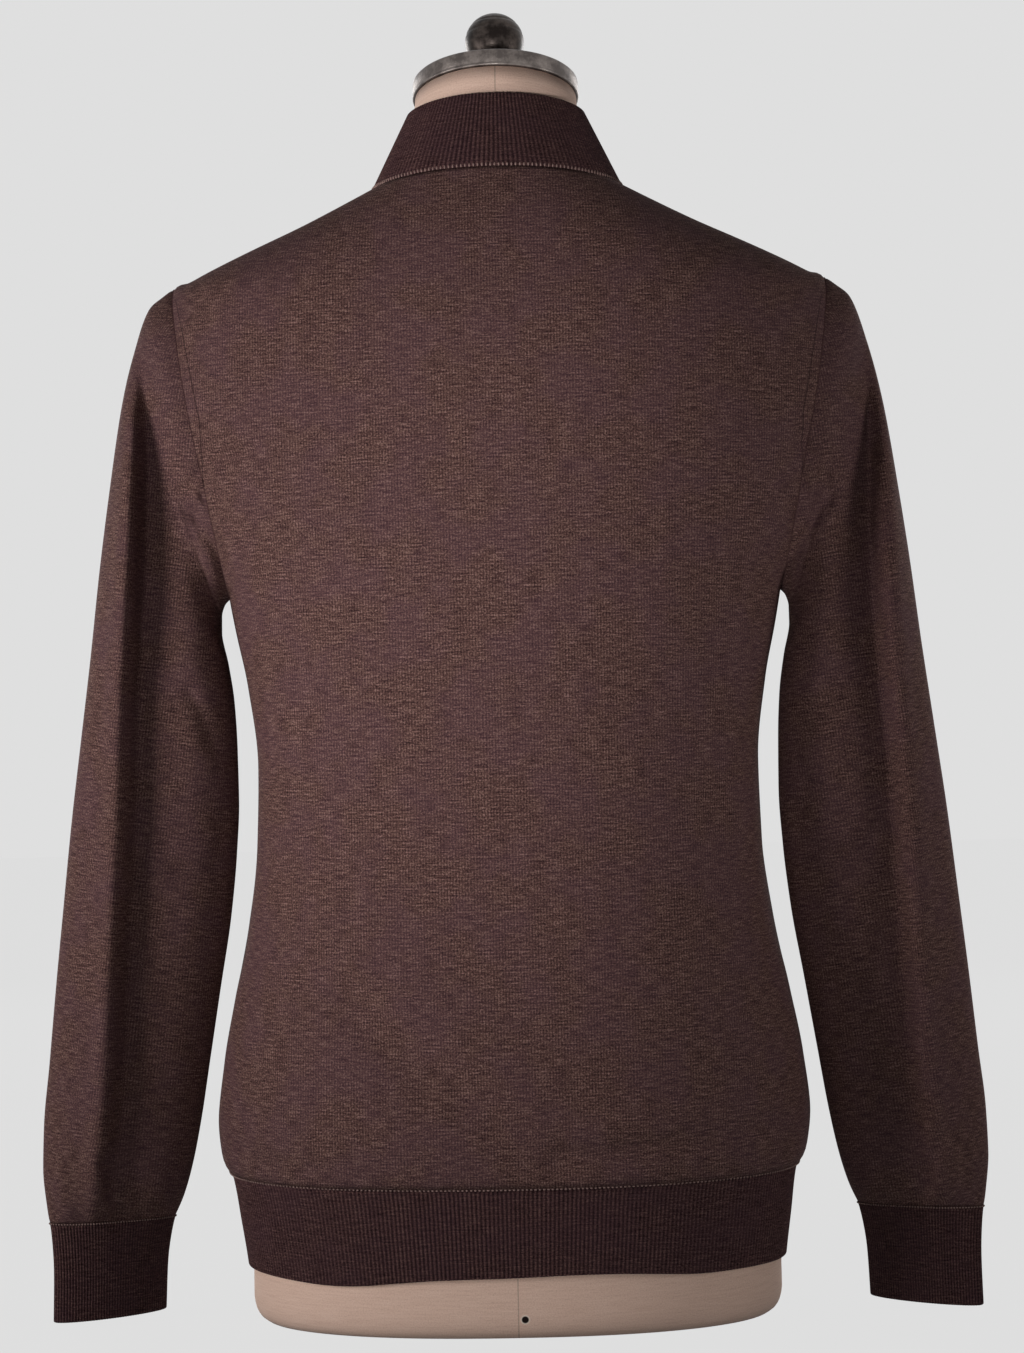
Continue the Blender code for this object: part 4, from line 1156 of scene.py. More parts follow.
@dataclass(frozen=True)
class RibBand:
    """A ribbed band, knitted double: outside, round its free edge, and up the inside."""

    surface: Surface
    first_turn: float
    last_turn: float
    pitch: float
    wall: float
    height: float
    free_end: int
    round_trip: bool = False
    map_pitch: float = 2.0
    points_per_rib: int = 5
    outer_rows: int = 14
    inner_rows: int = 5
    edge_steps: int = 7
    fine_steps: int = 1600
    rib_height: float = 2.0
    rib_sink: float = 1.2
    rib_fullness: float = 0.7

    def turns(self) -> Array:
        """Turns at even steps of length, with a whole number of ribs."""
        fine = np.linspace(self.first_turn, self.last_turn, self.fine_steps)
        length = row_arc(self.surface(np.full((1, 1), 0.5), fine[None, :]))[0]
        steps = self.points_per_rib * round(length[-1] / self.pitch)
        return np.interp(np.linspace(0, length[-1], steps + 1), length, fine)

    def mesh(self) -> Mesh:
        """The closed band."""
        turns = self.turns()
        edge_share = self.wall / 2 / self.height
        low, high = (edge_share, 1.0) if self.free_end == 0 else (0.0, 1 - edge_share)
        shares = np.linspace(low, high, self.outer_rows)[:, None]
        outer = self.surface(shares, turns[None, :])
        normal = grid_normals(outer, self.round_trip)
        if self.free_end == 1:
            outer, normal, shares = outer[::-1], normal[::-1], shares[::-1]
        phase = np.arange(len(turns)) / self.points_per_rib
        rib = self.rib_height * np.abs(np.sin(pi * phase)) ** self.rib_fullness - self.rib_sink
        lift = (CUT.rib_relief * rib)[None, :, None]
        edge_way = unit(outer[0] - outer[1])
        half = self.wall / 2
        rows = list((outer + normal * lift)[::-1])
        for turn in np.linspace(0, pi, self.edge_steps)[1:-1]:
            sunk = half * (1 - cos(turn))
            raised = lift[0] * (1 + cos(turn)) / 2 - sunk
            rows.append(outer[0] + edge_way * half * sin(turn) + normal[0] * raised)
        picks = np.linspace(0, len(outer) - 1, self.inner_rows).round().astype(int)
        rows += [outer[i] - normal[i] * self.wall for i in picks]
        rows.append(rows[0])
        points = np.array(rows)
        around = (phase * self.map_pitch)[None, :]
        bm = cloth_grid(points, around, line_arc(points[:, 0])[:, None])
        close_rims(bm)
        return bm


def joined(template: Mesh, places: list[Matrix]) -> Mesh:
    """Copies of a small template, joined into one mesh.

    Args:
        template: The small mesh, in millimetres, which is freed.
        places: Where each copy goes, in millimetres.

    Returns:
        The joined mesh in metres.
    """
    template.verts.index_update()
    points = np.array([vert.co[:] for vert in template.verts])
    faces = [[vert.index for vert in face.verts] for face in template.faces]
    template.free()
    frames = np.array(places)
    moved = np.einsum("pij,vj->pvi", frames[:, :3, :3], points) + frames[:, None, :3, 3]
    every = [[i + k * len(points) for i in face] for k in range(len(places)) for face in faces]
    mesh = bpy.data.meshes.new("joined")
    mesh.from_pydata((moved.reshape(-1, 3) * MM).tolist(), [], every)
    bm = bmesh.new()
    bm.from_mesh(mesh)
    bpy.data.meshes.remove(mesh)
    bm.loops.layers.uv.new(CLOTH_UV)
    bmesh.ops.recalc_face_normals(bm, faces=bm.faces)
    return bm


@dataclass(frozen=True)
class StitchRow:
    """A row of small rounded stitches along a seam."""

    long: float
    wide: float
    thick: float
    pitch: float
    upright: bool = True
    lean: float = 0.0

    def mesh(self, line: Array, normals: Array) -> Mesh:
        """One stitch at each step along a line.

        Args:
            line: Points along the seam.
            normals: The cloth's outward normal at each.

        Returns:
            The stitches, as one mesh in metres.
        """
        reach = line_arc(line)
        count = max(2, round(reach[-1] / self.pitch))
        at = (np.arange(count) + 0.5) * reach[-1] / count
        centre, out = read_along(line, reach, at), unit(read_along(normals, reach, at))
        ahead = read_along(line, reach, at + 1) - read_along(line, reach, at - 1)
        up = unit(np.cross(out, unit(ahead)))
        ahead = np.cross(up, out)
        lean = (self.lean * (1 - 2 * (np.arange(count) % 2)))[:, None]
        up, ahead = up * np.cos(lean) + ahead * np.sin(lean), ahead * np.cos(lean) - up * np.sin(lean)
        main, cross = (up, ahead) if self.upright else (ahead, up)
        axes = np.stack((main * self.long / 2, cross * self.wide / 2, out * self.thick / 2), axis=-1)
        places = [Matrix.Translation(c) @ Matrix(a).to_4x4() for c, a in zip(centre, axes)]
        bead = bmesh.new()
        bmesh.ops.create_uvsphere(bead, u_segments=6, v_segments=4, radius=1)
        return joined(bead, places)


# ---- the garment ------------------------------------------------------------------------

@dataclass
class BodyPanels:
    """The back and the two fronts, in plain jersey."""

    finishes: Finishes
    columns: int = 200
    lower_rows: int = 92
    armhole_rows: int = 84
    yoke_rows: int = 26
    ease_height: float = 16.0
    ease_weight: float = 0.5
    ease_sides: float = 10.0
    ease_passes: int = 60
    seam_reach: float = 9.0
    foot_reach: float = 12.0
    mark_top: float = 634.0
    mark_top_rate: float = 4.0
    mark_foot: float = 556.0
    mark_foot_rate: float = 0.25
    back_cut: tuple[float, float, float] = (0.52, 0.63, 0.285)
    front_cut: tuple[float, float, float] = (0.27, 0.62, 0.140)

    def heights(self) -> Array:
        """Heights of the rows, close together at the armhole's two ends."""
        lower = np.linspace(CUT.body_foot, CUT.armpit, self.lower_rows, endpoint=False)
        half = (CUT.shoulder_tip - CUT.armpit) / 2
        swing = np.linspace(0, pi, self.armhole_rows, endpoint=False)
        yoke = np.linspace(CUT.shoulder_tip, CUT.neckline, self.yoke_rows)
        return np.concatenate((lower, CUT.armpit + half * (1 - np.cos(swing)), yoke))

    def eased(self, points: Array, heights: Array) -> Array:
        """Soften the creases that run in from the armhole's two ends."""
        ends = (CUT.armpit, CUT.shoulder_tip)
        near = sum(bell(heights - end, self.ease_height) for end in ends)[1:-1, None, None]
        columns = points.shape[1]
        inward = side_distance(np.arange(columns)[None])[0] / (columns / self.ease_sides)
        weight = self.ease_weight * near * np.clip(inward, 0, 1)[None, :, None]
        for _ in range(self.ease_passes):
            middle = (points[:-2] + points[2:]) / 2
            points[1:-1] += (middle - points[1:-1]) * weight
        return points

    def surface(self, turns: Array, heights: Array, back: bool) -> Array:
        """Points of a panel, with its folds and its swell above the hem."""
        points = self.eased(BODY_FORM.point(heights[:, None], turns), heights)
        normal = grid_normals(points, False)
        normal *= np.sign(np.sum(normal * points * (1, 1, 0)))
        at_back = np.full(points.shape[:2], back)
        reach = side_distance(row_arc(points)) / self.seam_reach
        above = np.clip((heights - CUT.body_foot) / self.foot_reach, 0, 1)
        free = above[:, None] * np.clip(reach, 0, 1)
        sink = fold_sink(points, BODY_FOLDS, at_back) * free
        shift = drape(points, LEFT_ARM_FOLDS) + drape(points * (-1, 1, 1), RIGHT_ARM_FOLDS)
        points[..., 1] += shift
        points[..., 2] += SHOULDER_LIFT.at(points)
        return points - normal * sink[..., None] + BLOUSE.lift(points)

    def climb(self, points: Array, column: int) -> Array:
        """Each point's height along the cloth, as one free-hanging column measures it."""
        line = points[:, column]
        return np.interp(points[..., 2], line[:, 2], line_arc(line))

    def seam_marks(self, reach: Array, heights: Array) -> Array:
        """Distance from the armhole seam, made greater past both ends of the fashioning marks."""
        over = np.maximum(heights - self.mark_top, 0) * self.mark_top_rate
        under = np.maximum(self.mark_foot - heights, 0) * self.mark_foot_rate
        return reach + (over + under)[:, None]

    def piece(
        self, node: str, points: Array, across: Array, column: int, marks: Array,
        flipped: bool, cut: tuple[float, float, float],
    ) -> Piece:
        """A panel made of its points.

        Args:
            node: The panel's CAD node.
            points: Rows x columns of points.
            across: Each point's place across the cloth.
            column: The column whose length measures the cloth's height.
            marks: Each point's distance from the armhole seam.
            flipped: True if the columns run clockwise.
            cut: The flat width and length, and the area, in metres. Not used.

        Returns:
            The panel.
        """
        bm = cloth_grid(points, across, self.climb(points, column), marks)
        if flipped:
            bmesh.ops.reverse_faces(bm, faces=bm.faces)
        piece = settle(
            f"{node}_jersey", bm, self.finishes.jersey, (node,), CUT.jersey_wall,
        )
        return piece

    def back(self) -> Piece:
        """The back, from side seam to side seam."""
        heights = self.heights()
        first = BODY_FORM.edge_turn(heights, Face.BACK)[:, None]
        turns = first + (pi - 2 * first) * np.linspace(0, 1, self.columns + 1)[None, :]
        points = self.surface(turns, heights, True)
        arc = row_arc(points)
        middle = self.columns // 2
        marks = self.seam_marks(side_distance(arc), heights)
        across = arc - arc[:, middle][:, None]
        return self.piece("back", points, across, middle, marks, False, self.back_cut)

    def front(self, side: Side) -> Piece:
        """A front, from its side seam to the edge beside the zip."""
        heights = self.heights()
        first = BODY_FORM.edge_turn(heights, Face.FRONT)[:, None]
        last = BODY_FORM.centre_turn(heights, CUT.front_edge_x)[:, None]
        share = np.linspace(0, 1, self.columns // 2 + 1)[None, :]
        turns = first + (last - first) * share
        if side is Side.RIGHT:
            turns = pi - turns
        points = self.surface(turns, heights, False)
        arc = row_arc(points)
        return self.piece(
            f"front_{side.suffix}", points, arc[:, -1:] - arc, self.columns // 4,
            self.seam_marks(arc, heights), side is Side.LEFT, self.front_cut,
        )


@dataclass
class SleevePieces:
    """One sleeve with its ribbed cuff and the row that links them."""

    finishes: Finishes
    side: Side
    form: SleeveForm
    rings: int = 190
    columns: int = 168
    ring_spacing: float = 1.15
    head_reach: float = 24.0
    end_reach: float = 5.0
    grain: tuple[float, float, float] = (-0.13, 0.0, 1.0)
    cut: tuple[float, float, float] = (0.42, 0.60, 0.152)
    cuff_cut: tuple[float, float] = (0.170, 0.061)
    seam: StitchRow = StitchRow(long=1.9, wide=0.7, thick=0.7, pitch=1.1, lean=0.6)
    seam_steps: int = 400
    seam_sink: float = 0.1
    seam_inward: float = 9.0
    seam_turn: float = 0.12
    seam_flatten: tuple[float, float, float] = (1, 1, 0.2)
    seam_outward: tuple[float, float, float] = (0.4, 0, 0)
    link: StitchRow = StitchRow(long=1.2, wide=1.4, thick=1.2, pitch=CUT.cuff_rib)
    link_steps: int = 240
    link_share: float = 0.004
    link_lift: float = 0.5

    def mirrored(self, bm: Mesh) -> Mesh:
        """The same mesh on this sleeve's own side."""
        if self.side is Side.RIGHT:
            bmesh.ops.scale(bm, vec=(-1, 1, 1), verts=bm.verts)
            bmesh.ops.reverse_faces(bm, faces=bm.faces)
        return bm

    def cloth_map(self, points: Array, turn: Array) -> tuple[Array, Array]:
        """The cloth's own map, level across the grain.

        Args:
            points: Rings x columns of points.
            turn: The columns' turns, as one row.

        Returns:
            Each point's place across the cloth and up it. Each half is shifted, so that its
            middle column keeps its true place beside the grain from ring to ring.
        """
        climb = points @ unit(np.array(self.grain))
        square = np.sum(np.diff(points, axis=1) ** 2, axis=-1) - np.diff(climb, axis=1) ** 2
        across = running(np.sqrt(np.maximum(square, 0)))
        top = self.columns // 2
        across -= across[:, top][:, None]
        beside = points @ unit(np.array((self.grain[2], 0, -self.grain[0])))
        away_from_top = np.clip(np.abs(turn - pi), 0, 1)
        for column, sign in ((top // 2, 1), (top + top // 2, -1)):
            shift = sign * beside[:, column] - across[:, column]
            half = np.sign(np.sin(turn)) == sign
            across += (shift - shift[self.rings // 2])[:, None] * half * away_from_top
        return across, climb

    def sleeve(self) -> Piece:
        """The sleeve, from the armhole to the cuff."""
        spaced = np.linspace(0, 1, self.rings + 1) ** self.ring_spacing
        along = (CUT.sleeve_end * spaced)[:, None]
        turn = np.linspace(0, 2 * pi, self.columns + 1)[None, :]
        points = self.form.point(along, turn)
        normal = grid_normals(points, True)
        back = np.broadcast_to(np.sin(turn) >= 0, points.shape[:2])
        ends = np.clip(along / self.head_reach, 0, 1)
        ends = ends * np.clip((CUT.sleeve_end - along) / self.end_reach, 0, 1)
        sink = fold_sink(points, self.form.folds, back) * ends
        points = points - normal * sink[..., None]
        bm = self.mirrored(cloth_grid(points, *self.cloth_map(points, turn)))
        name = f"sleeve_{self.side.suffix}"
        piece = settle(
            f"{name}_jersey", bm, self.finishes.jersey, (name,), CUT.jersey_wall,
        )
        self.armhole_seam()
        return piece

    def armhole_seam(self) -> Piece:
        """The stitches that close the armhole, leaning to and fro."""
        turn = np.linspace(0, 2 * pi, self.seam_steps)
        line = self.form.point(0, turn)
        inward = self.form.point(self.seam_inward, turn)
        beside = BODY_FORM.point(
            line[:, 2], np.where(np.sin(turn) >= 0, self.seam_turn, -self.seam_turn),
        )
        away = unit(line - (inward + beside) / 2)
        out = unit(away * self.seam_flatten + self.seam_outward)
        stitches = self.seam.mesh(line - out * self.seam_sink, out)
        return settle(
            f"sleeve_{self.side.suffix}_seam", self.mirrored(stitches), self.finishes.jersey,
            (),
        )

    def cuff(self) -> Piece:
        """The cuff, with its linking row."""
        band = RibBand(
            lambda share, turn: self.form.cuff(1 - share, -turn), 0.0, 2 * pi, CUT.cuff_rib,
            CUT.rib_wall, CUT.cuff_end - CUT.cuff_start, free_end=0, round_trip=True,
        )
        bm = self.mirrored(band.mesh())
        name = f"cuff_{self.side.suffix}"
        piece = settle(f"{name}_rib", bm, self.finishes.rib, (name,))
        turn = np.linspace(0, 2 * pi, self.link_steps)
        line = self.form.cuff(self.link_share, turn)
        out = unit((line - line.mean(axis=0)) * (1, 1, 0))
        stitches = self.link.mesh(line + out * self.link_lift, out)
        row = settle(f"{name}_linking", self.mirrored(stitches), self.finishes.linking, ())
        return piece


@dataclass
class HemBand:
    """The ribbed hem, in three lengths, with the row that links it to the body."""

    finishes: Finishes
    back_cut: tuple[float, float] = (0.45, 0.058)
    side_cut: tuple[float, float] = (0.225, 0.058)
    link: StitchRow = StitchRow(long=1.3, wide=1.8, thick=1.2, pitch=CUT.hem_rib)
    link_steps: int = 400
    link_share: float = 1.004
    link_lift: float = 0.6

    def length(self, name: str, first: float, last: float, cut: tuple[float, float]) -> Piece:
        """One length of the band between two turns."""
        form = HemForm()
        band = RibBand(
            form.point, first, last, CUT.hem_rib, CUT.rib_wall,
            CUT.hem_top - CUT.hem_bottom, free_end=0,
        )
        piece = settle(f"{name}_rib", band.mesh(), self.finishes.rib, (name,))
        line = form.point(self.link_share, np.linspace(first, last, self.link_steps))
        out = unit(line * (1, 1, 0))
        stitches = self.link.mesh(line + out * self.link_lift, out)
        row = settle(f"{name}_linking", stitches, self.finishes.linking, ())
        return piece

    def build(self) -> None:
        """The back's length and the two fronts'."""
        side = float(BODY_FORM.edge_turn(np.array(CUT.hem_top), Face.BACK))
        zip_edge = float(BODY_FORM.centre_turn(np.array(CUT.hem_top), CUT.front_edge_x))
        self.length("hem_back", side, pi - side, self.back_cut)
        self.length("hem_left", zip_edge, -side, self.side_cut)
        self.length("hem_right", pi + side, pi - zip_edge, self.side_cut)


@dataclass
class StandCollar:
    """The ribbed stand collar and the chain of loops that links it to the neckline."""

    finishes: Finishes
    cut: tuple[float, float] = (0.42, 0.055)
    loops: StitchRow = StitchRow(long=2.6, wide=1.2, thick=1.2, pitch=CUT.collar_rib)
    loop_lift: float = 0.2
    chain: StitchRow = StitchRow(long=2.4, wide=0.7, thick=0.8, pitch=CUT.collar_rib, upright=False)
    chain_lift: float = 0.1
    chain_drop: float = 1.5
    row_steps: int = 500
    row_share: float = 0.012
    row_centre_y: float = -4.0

    def build(self) -> Piece:
        """The collar band and its linking."""
        first = float(COLLAR_FORM.centre_turn(np.zeros(1), CUT.front_edge_x)[0])
        height = CUT.collar_side_z - CUT.neckline
        band = RibBand(
            COLLAR_FORM.point, first, pi - first, CUT.collar_rib, CUT.collar_wall, height,
            free_end=1,
        )
        piece = settle("collar_rib", band.mesh(), self.finishes.rib, ("collar",))
        line = COLLAR_FORM.point(self.row_share, np.linspace(first, pi - first, self.row_steps))
        out = unit(line * (1, 1, 0) - (0, self.row_centre_y, 0))
        loops = self.loops.mesh(line + out * self.loop_lift, out)
        loop_row = settle("collar_linking_loops", loops, self.finishes.linking, ())
        foot = line + out * self.chain_lift - (0, 0, self.chain_drop)
        chain = self.chain.mesh(foot, out)
        chain_row = settle("collar_linking_chain", chain, self.finishes.linking, ())
        return piece


# ---- the zip ----------------------------------------------------------------------------

@dataclass
class Zip:
    """The closed zip's tapes and teeth. Its slider, tab, stops and box stay the frame's own."""

    finishes: Finishes
    tooth_pitch: float = 2.0
    tooth_reach: float = 3.2
    tooth_thick: float = 2.2
    tooth_share: float = 0.46
    tooth_round: float = 0.22
    tooth_gap: float = 0.1
    first_tooth: float = 12.0
    last_tooth: float = 4.5
    parting: float = 1.1
    parting_length: float = 11.0
    tape_cut: tuple[float, float] = (0.012, 0.71)
    tape_columns: int = 5
    hem_shares: tuple[float, ...] = (0.02, 0.5, 1.0)
    body_steps: int = 60
    body_start: float = 8.0
    body_end: float = 1.0
    thick_reach: float = 12.0
    collar_shares: tuple[float, ...] = (0.0, 0.3, 0.6, 0.97)

    def rows(self) -> tuple[Array, Array]:
        """Points and normals down the middle of the tapes, from hem to collar top."""
        foot, top = CUT.body_foot, CUT.neckline
        hem = CUT.hem_bottom + (CUT.hem_top - CUT.hem_bottom) * np.array(self.hem_shares)
        body = np.linspace(foot + self.body_start, top - self.body_end, self.body_steps)
        heights = np.concatenate((hem, body))
        shares = np.array(self.collar_shares)
        collar_turns = COLLAR_FORM.centre_turn(shares, CUT.front_edge_x)
        line = np.concatenate((
            BODY_FORM.point(heights, BODY_FORM.centre_turn(heights, CUT.front_edge_x)),
            COLLAR_FORM.smooth(shares, collar_turns),
        ))
        line[:, 0] = 0
        near_end = (heights < foot + self.thick_reach) | (heights > top - self.thick_reach)
        depth = np.where(near_end, CUT.rib_wall, CUT.jersey_wall)
        depth = np.concatenate((depth, np.full(len(shares), CUT.collar_wall)))
        ahead = unit(np.gradient(line, axis=0))
        normal = np.stack((0 * line[:, 0], -ahead[:, 2], ahead[:, 1]), axis=-1)
        inset = depth[:, None] + CUT.tape_gap + CUT.tape_wall / 2
        return line - normal * inset, normal

    def tape(self, side: Side) -> Piece:
        """One tape."""
        line, normal = self.rows()
        across = np.linspace(CUT.tape_slot, CUT.tape_width, self.tape_columns)
        if side is Side.RIGHT:
            across = -across[::-1]
        points = line[:, None, :] + across[None, :, None] * np.array((1, 0, 0))
        points = points + normal[:, None, :] * CUT.tape_wall / 2
        bm = cloth_grid(points, across[None, :], line_arc(line)[:, None])
        name = f"zip_tape_{side.suffix}"
        piece = settle(f"{name}_woven", bm, self.finishes.tape, (name,), CUT.tape_wall)
        return piece

    def teeth(self) -> Piece:
        """Both rows of teeth, meshed at the middle."""
        line, normal = self.rows()
        reach = line_arc(line)
        last = reach[-1] - self.last_tooth
        sideways = Vector((1, 0, 0))
        places = []
        for i in range(2 * int((last - self.first_tooth) / self.tooth_pitch)):
            at = self.first_tooth + i * self.tooth_pitch / 2
            centre = Vector(read_along(line, reach, at))
            out = Vector(read_along(normal, reach, at)).normalized()
            up = sideways.cross(out).normalized()
            sign = 1 if i % 2 else -1
            apart = self.parting if at > reach[-1] - self.parting_length else 0.0
            centre.x = sign * (self.tooth_reach / 2 + self.tooth_gap + apart)
            turned = Matrix((sideways, out, up)).transposed()
            places.append(Matrix.Translation(centre) @ turned.to_4x4())
        tooth = bmesh.new()
        size = (self.tooth_reach, self.tooth_thick, self.tooth_pitch * self.tooth_share)
        bmesh.ops.create_cube(tooth, size=1, matrix=Matrix.Diagonal((*size, 1)))
        bmesh.ops.bevel(
            tooth, geom=tooth.edges[:], offset=self.tooth_round, segments=1, profile=0.5,
            affect="EDGES", material=-1,
        )
        bm = joined(tooth, places)
        return settle("zip_teeth", bm, self.finishes.zip_metal, ())


# ---- the dress form ---------------------------------------------------------------------

@dataclass
class DressForm:
    """The padded limbless form, its neck cap and its turned knob."""

    finishes: Finishes
    columns: int = 144
    plate_low_x: float = 164.0
    plate_high_x: float = 194.0
    plate_softness: float = 12.0
    front_relief: float = 5.0
    front_narrow: float = 8.0
    level_below: float = 110.0
    foot_heights: tuple[float, ...] = (0, 1, 2.5, 4.5, 7, 10, 14, 20, 28, 36)
    torso_start: float = 46.0
    torso_rows: int = 90
    neck_shares: tuple[float, ...] = (0.12, 0.3, 0.5, 0.7, 0.85, 1.0)
    collar_seat: float = 0.9
    neck_tilt: float = radians(15)
    neck_centre_y: float = -6.0
    neck_top_z: float = 762.0
    neck_radius: float = 50.8
    cap_radius: float = 52.4
    cap_rim: float = 11.6
    cap_dome: float = 2.6
    cap_gap: float = 0.35
    crown_radius: float = 48.7
    crown_start: float = 0.15
    crown_points: int = 9
    cap_shoulder: tuple[tuple[float, float], ...] = (
        (50.2, 0.1), (51.2, 0.5), (51.9, 1.2), (52.2, 2.2),
    )
    cap_lip: tuple[tuple[float, float], ...] = (
        (0.1, 2.4), (0.3, 2.0), (0, 1.5), (0, 0.7), (0.4, 0.2), (1, 0),
    )
    knob_radius: float = 18.7
    knob_height: float = 24.5
    knob_foot: tuple[tuple[float, float], ...] = (
        (7.5, 5.0), (7.6, 3.6), (8.6, 2.2), (10.2, 1.3), (10.5, 0.9), (10.5, 0), (0, 0),
    )
    ball_end: float = 0.42
    ball_points: int = 60
    beads: tuple[tuple[float, float], ...] = ((0.95, 0.5), (1.32, 0.35))
    bead_width: float = 0.035

    def plate(self, points: Array, heights: Array) -> Array:
        """Hold points behind the flat arm plates, with a soft shoulder."""
        share = (heights - CUT.armpit) / (CUT.shoulder_tip - CUT.armpit)
        limit = self.plate_low_x + (self.plate_high_x - self.plate_low_x) * share
        start = (limit - self.plate_softness)[:, None]
        wide = np.abs(points[..., 0])
        soft = limit[:, None] - self.plate_softness * np.exp((start - wide) / self.plate_softness)
        held = (share[:, None] >= 0) & (wide > start)
        points[..., 0] = np.where(held, np.copysign(soft, points[..., 0]), points[..., 0])
        return points

    def torso(self) -> Piece:
        """The torso and neck, closed at both ends."""
        turn = np.linspace(0, 2 * pi, self.columns + 1)[None, :]
        upper = np.linspace(self.torso_start, CUT.neckline, self.torso_rows)
        heights = np.concatenate((self.foot_heights, upper))
        smooth = BODY_FORM.point(heights[:, None], turn)
        normal = grid_normals(smooth, True)
        low = heights < self.level_below
        normal[low] = unit(normal[low] * (1, 1, 0))
        relief = self.front_relief * np.maximum(0, -np.sin(turn)) ** self.front_narrow
        inset = FORM_TABLE.read("inset", heights)[:, None] + relief
        torso = self.plate(smooth - normal * inset[..., None], heights)
        collar = COLLAR_FORM.smooth(np.array(self.neck_shares)[:, None], turn)
        inset = CUT.collar_wall + self.collar_seat + relief
        neck = collar - grid_normals(collar, True) * inset[..., None]
        run = self.neck_radius * np.sin(turn[0]) * cos(self.neck_tilt)
        top = stack(
            self.neck_radius * np.cos(turn[0]),
            self.neck_centre_y + run,
            self.neck_top_z - self.cap_gap + run * tan(self.neck_tilt),
        )
        middle = (neck[-1] + top) / 2
        points = np.concatenate((torso, neck, middle[None], top[None]))
        arc = row_arc(points)
        behind = self.columns // 4
        climb = line_arc(points[:, behind])[:, None]
        bm = cloth_grid(points, arc - arc[:, behind][:, None], climb)
        close_rims(bm)
        return settle("form_torso_linen", bm, self.finishes.linen, ("form_torso",))

    def seat(self) -> Matrix:
        """Frame of the cap's underside, tilted down towards the front, in millimetres."""
        centre = Matrix.Translation((0, self.neck_centre_y, self.neck_top_z))
        return centre @ Matrix.Rotation(self.neck_tilt, 4, "X")

    def turned(
        self, name: str, node: str, profile: list[tuple[float, float]], lift: float,
        finish: Finish, slot: str,
    ) -> Piece:
        """A turned piece, spun from its profile of radius and height."""
        bm = bmesh.new()
        verts = [bm.verts.new((radius, 0, height)) for radius, height in profile]
        edges = [bm.edges.new(pair) for pair in zip(verts, verts[1:])]
        bmesh.ops.spin(
            bm, geom=verts + edges, cent=(0, 0, 0), axis=(0, 0, 1), angle=2 * pi, steps=96,
            use_merge=True,
        )
        bmesh.ops.remove_doubles(bm, verts=bm.verts, dist=1e-4)
        bmesh.ops.recalc_face_normals(bm, faces=bm.faces)
        place = Matrix.Scale(MM, 4) @ self.seat() @ Matrix.Translation((0, 0, lift))
        bmesh.ops.transform(bm, matrix=place, verts=bm.verts)
        return settle(name, bm, finish, (node,))

    def cap(self) -> Piece:
        """The cast cap, with a rubbed lip at its foot."""
        rim = self.cap_rim
        profile = [(0, rim + self.cap_dome)]
        for t in np.linspace(self.crown_start, pi / 2, self.crown_points):
            profile.append((self.crown_radius * sin(t), rim + self.cap_dome * cos(t)))
        profile += [(radius, rim - drop) for radius, drop in self.cap_shoulder]
        profile += [(self.cap_radius - inset, height) for inset, height in self.cap_lip]
        profile.append((0, 0))
        return self.turned(
            "neck_cap_cast", "neck_cap", profile, 0, self.finishes.cap_metal, "dark_metal",
        )

    def knob(self) -> Piece:
        """The turned knob: a ball with two beads, its stem and a flared foot."""
        ball = []
        for t in np.linspace(0, pi - self.ball_end, self.ball_points):
            groove = sum(deep * bell(t - place, self.bead_width) for place, deep in self.beads)
            radius = self.knob_radius - groove
            ball.append((radius * sin(t), self.knob_height + radius * cos(t)))
        lift = self.cap_rim + self.cap_dome + self.cap_gap
        return self.turned(
            "neck_knob_turned", "neck_knob", [*ball, *self.knob_foot], lift,
            self.finishes.knob_metal, "dark_metal",
        )


# ---- the studio -------------------------------------------------------------------------

@dataclass(frozen=True)
class Lamp:
    """A soft studio panel."""

    name: str
    place: tuple[float, float, float]
    aim: tuple[float, float, float]
    power: float
    size: tuple[float, float]
    spread: float
    narrow: float = 1.0

    def light(self) -> bpy.types.Light:
        """The panel's light."""
        lamp = bpy.data.lights.new(self.name, "AREA")
        lamp.shape = "RECTANGLE"
        lamp.size, lamp.size_y = self.size
        lamp.spread = radians(self.spread)
        return lamp

    def hang(self) -> None:
        """Hang the lamp in its place, out of the camera's sight."""
        lamp = self.light()
        lamp.energy = self.power
        holder = bpy.data.objects.new(self.name, lamp)
        holder.location = self.place
        way = Vector(self.aim) - Vector(self.place)
        holder.rotation_euler = way.to_track_quat("-Z", "Y").to_euler()
        holder.scale.x = self.narrow
        holder.visible_camera = False
        bpy.context.scene.collection.objects.link(holder)


@dataclass(frozen=True)
class Spot(Lamp):
    """A spot with a soft-edged beam. Its size is the lens's radius."""

    def light(self) -> bpy.types.Light:
        """The spot's light."""
        lamp = bpy.data.lights.new(self.name, "SPOT")
        lamp.shadow_soft_size = self.size[0]
        lamp.spot_size = radians(self.spread)
        lamp.spot_blend = 1.0
        return lamp


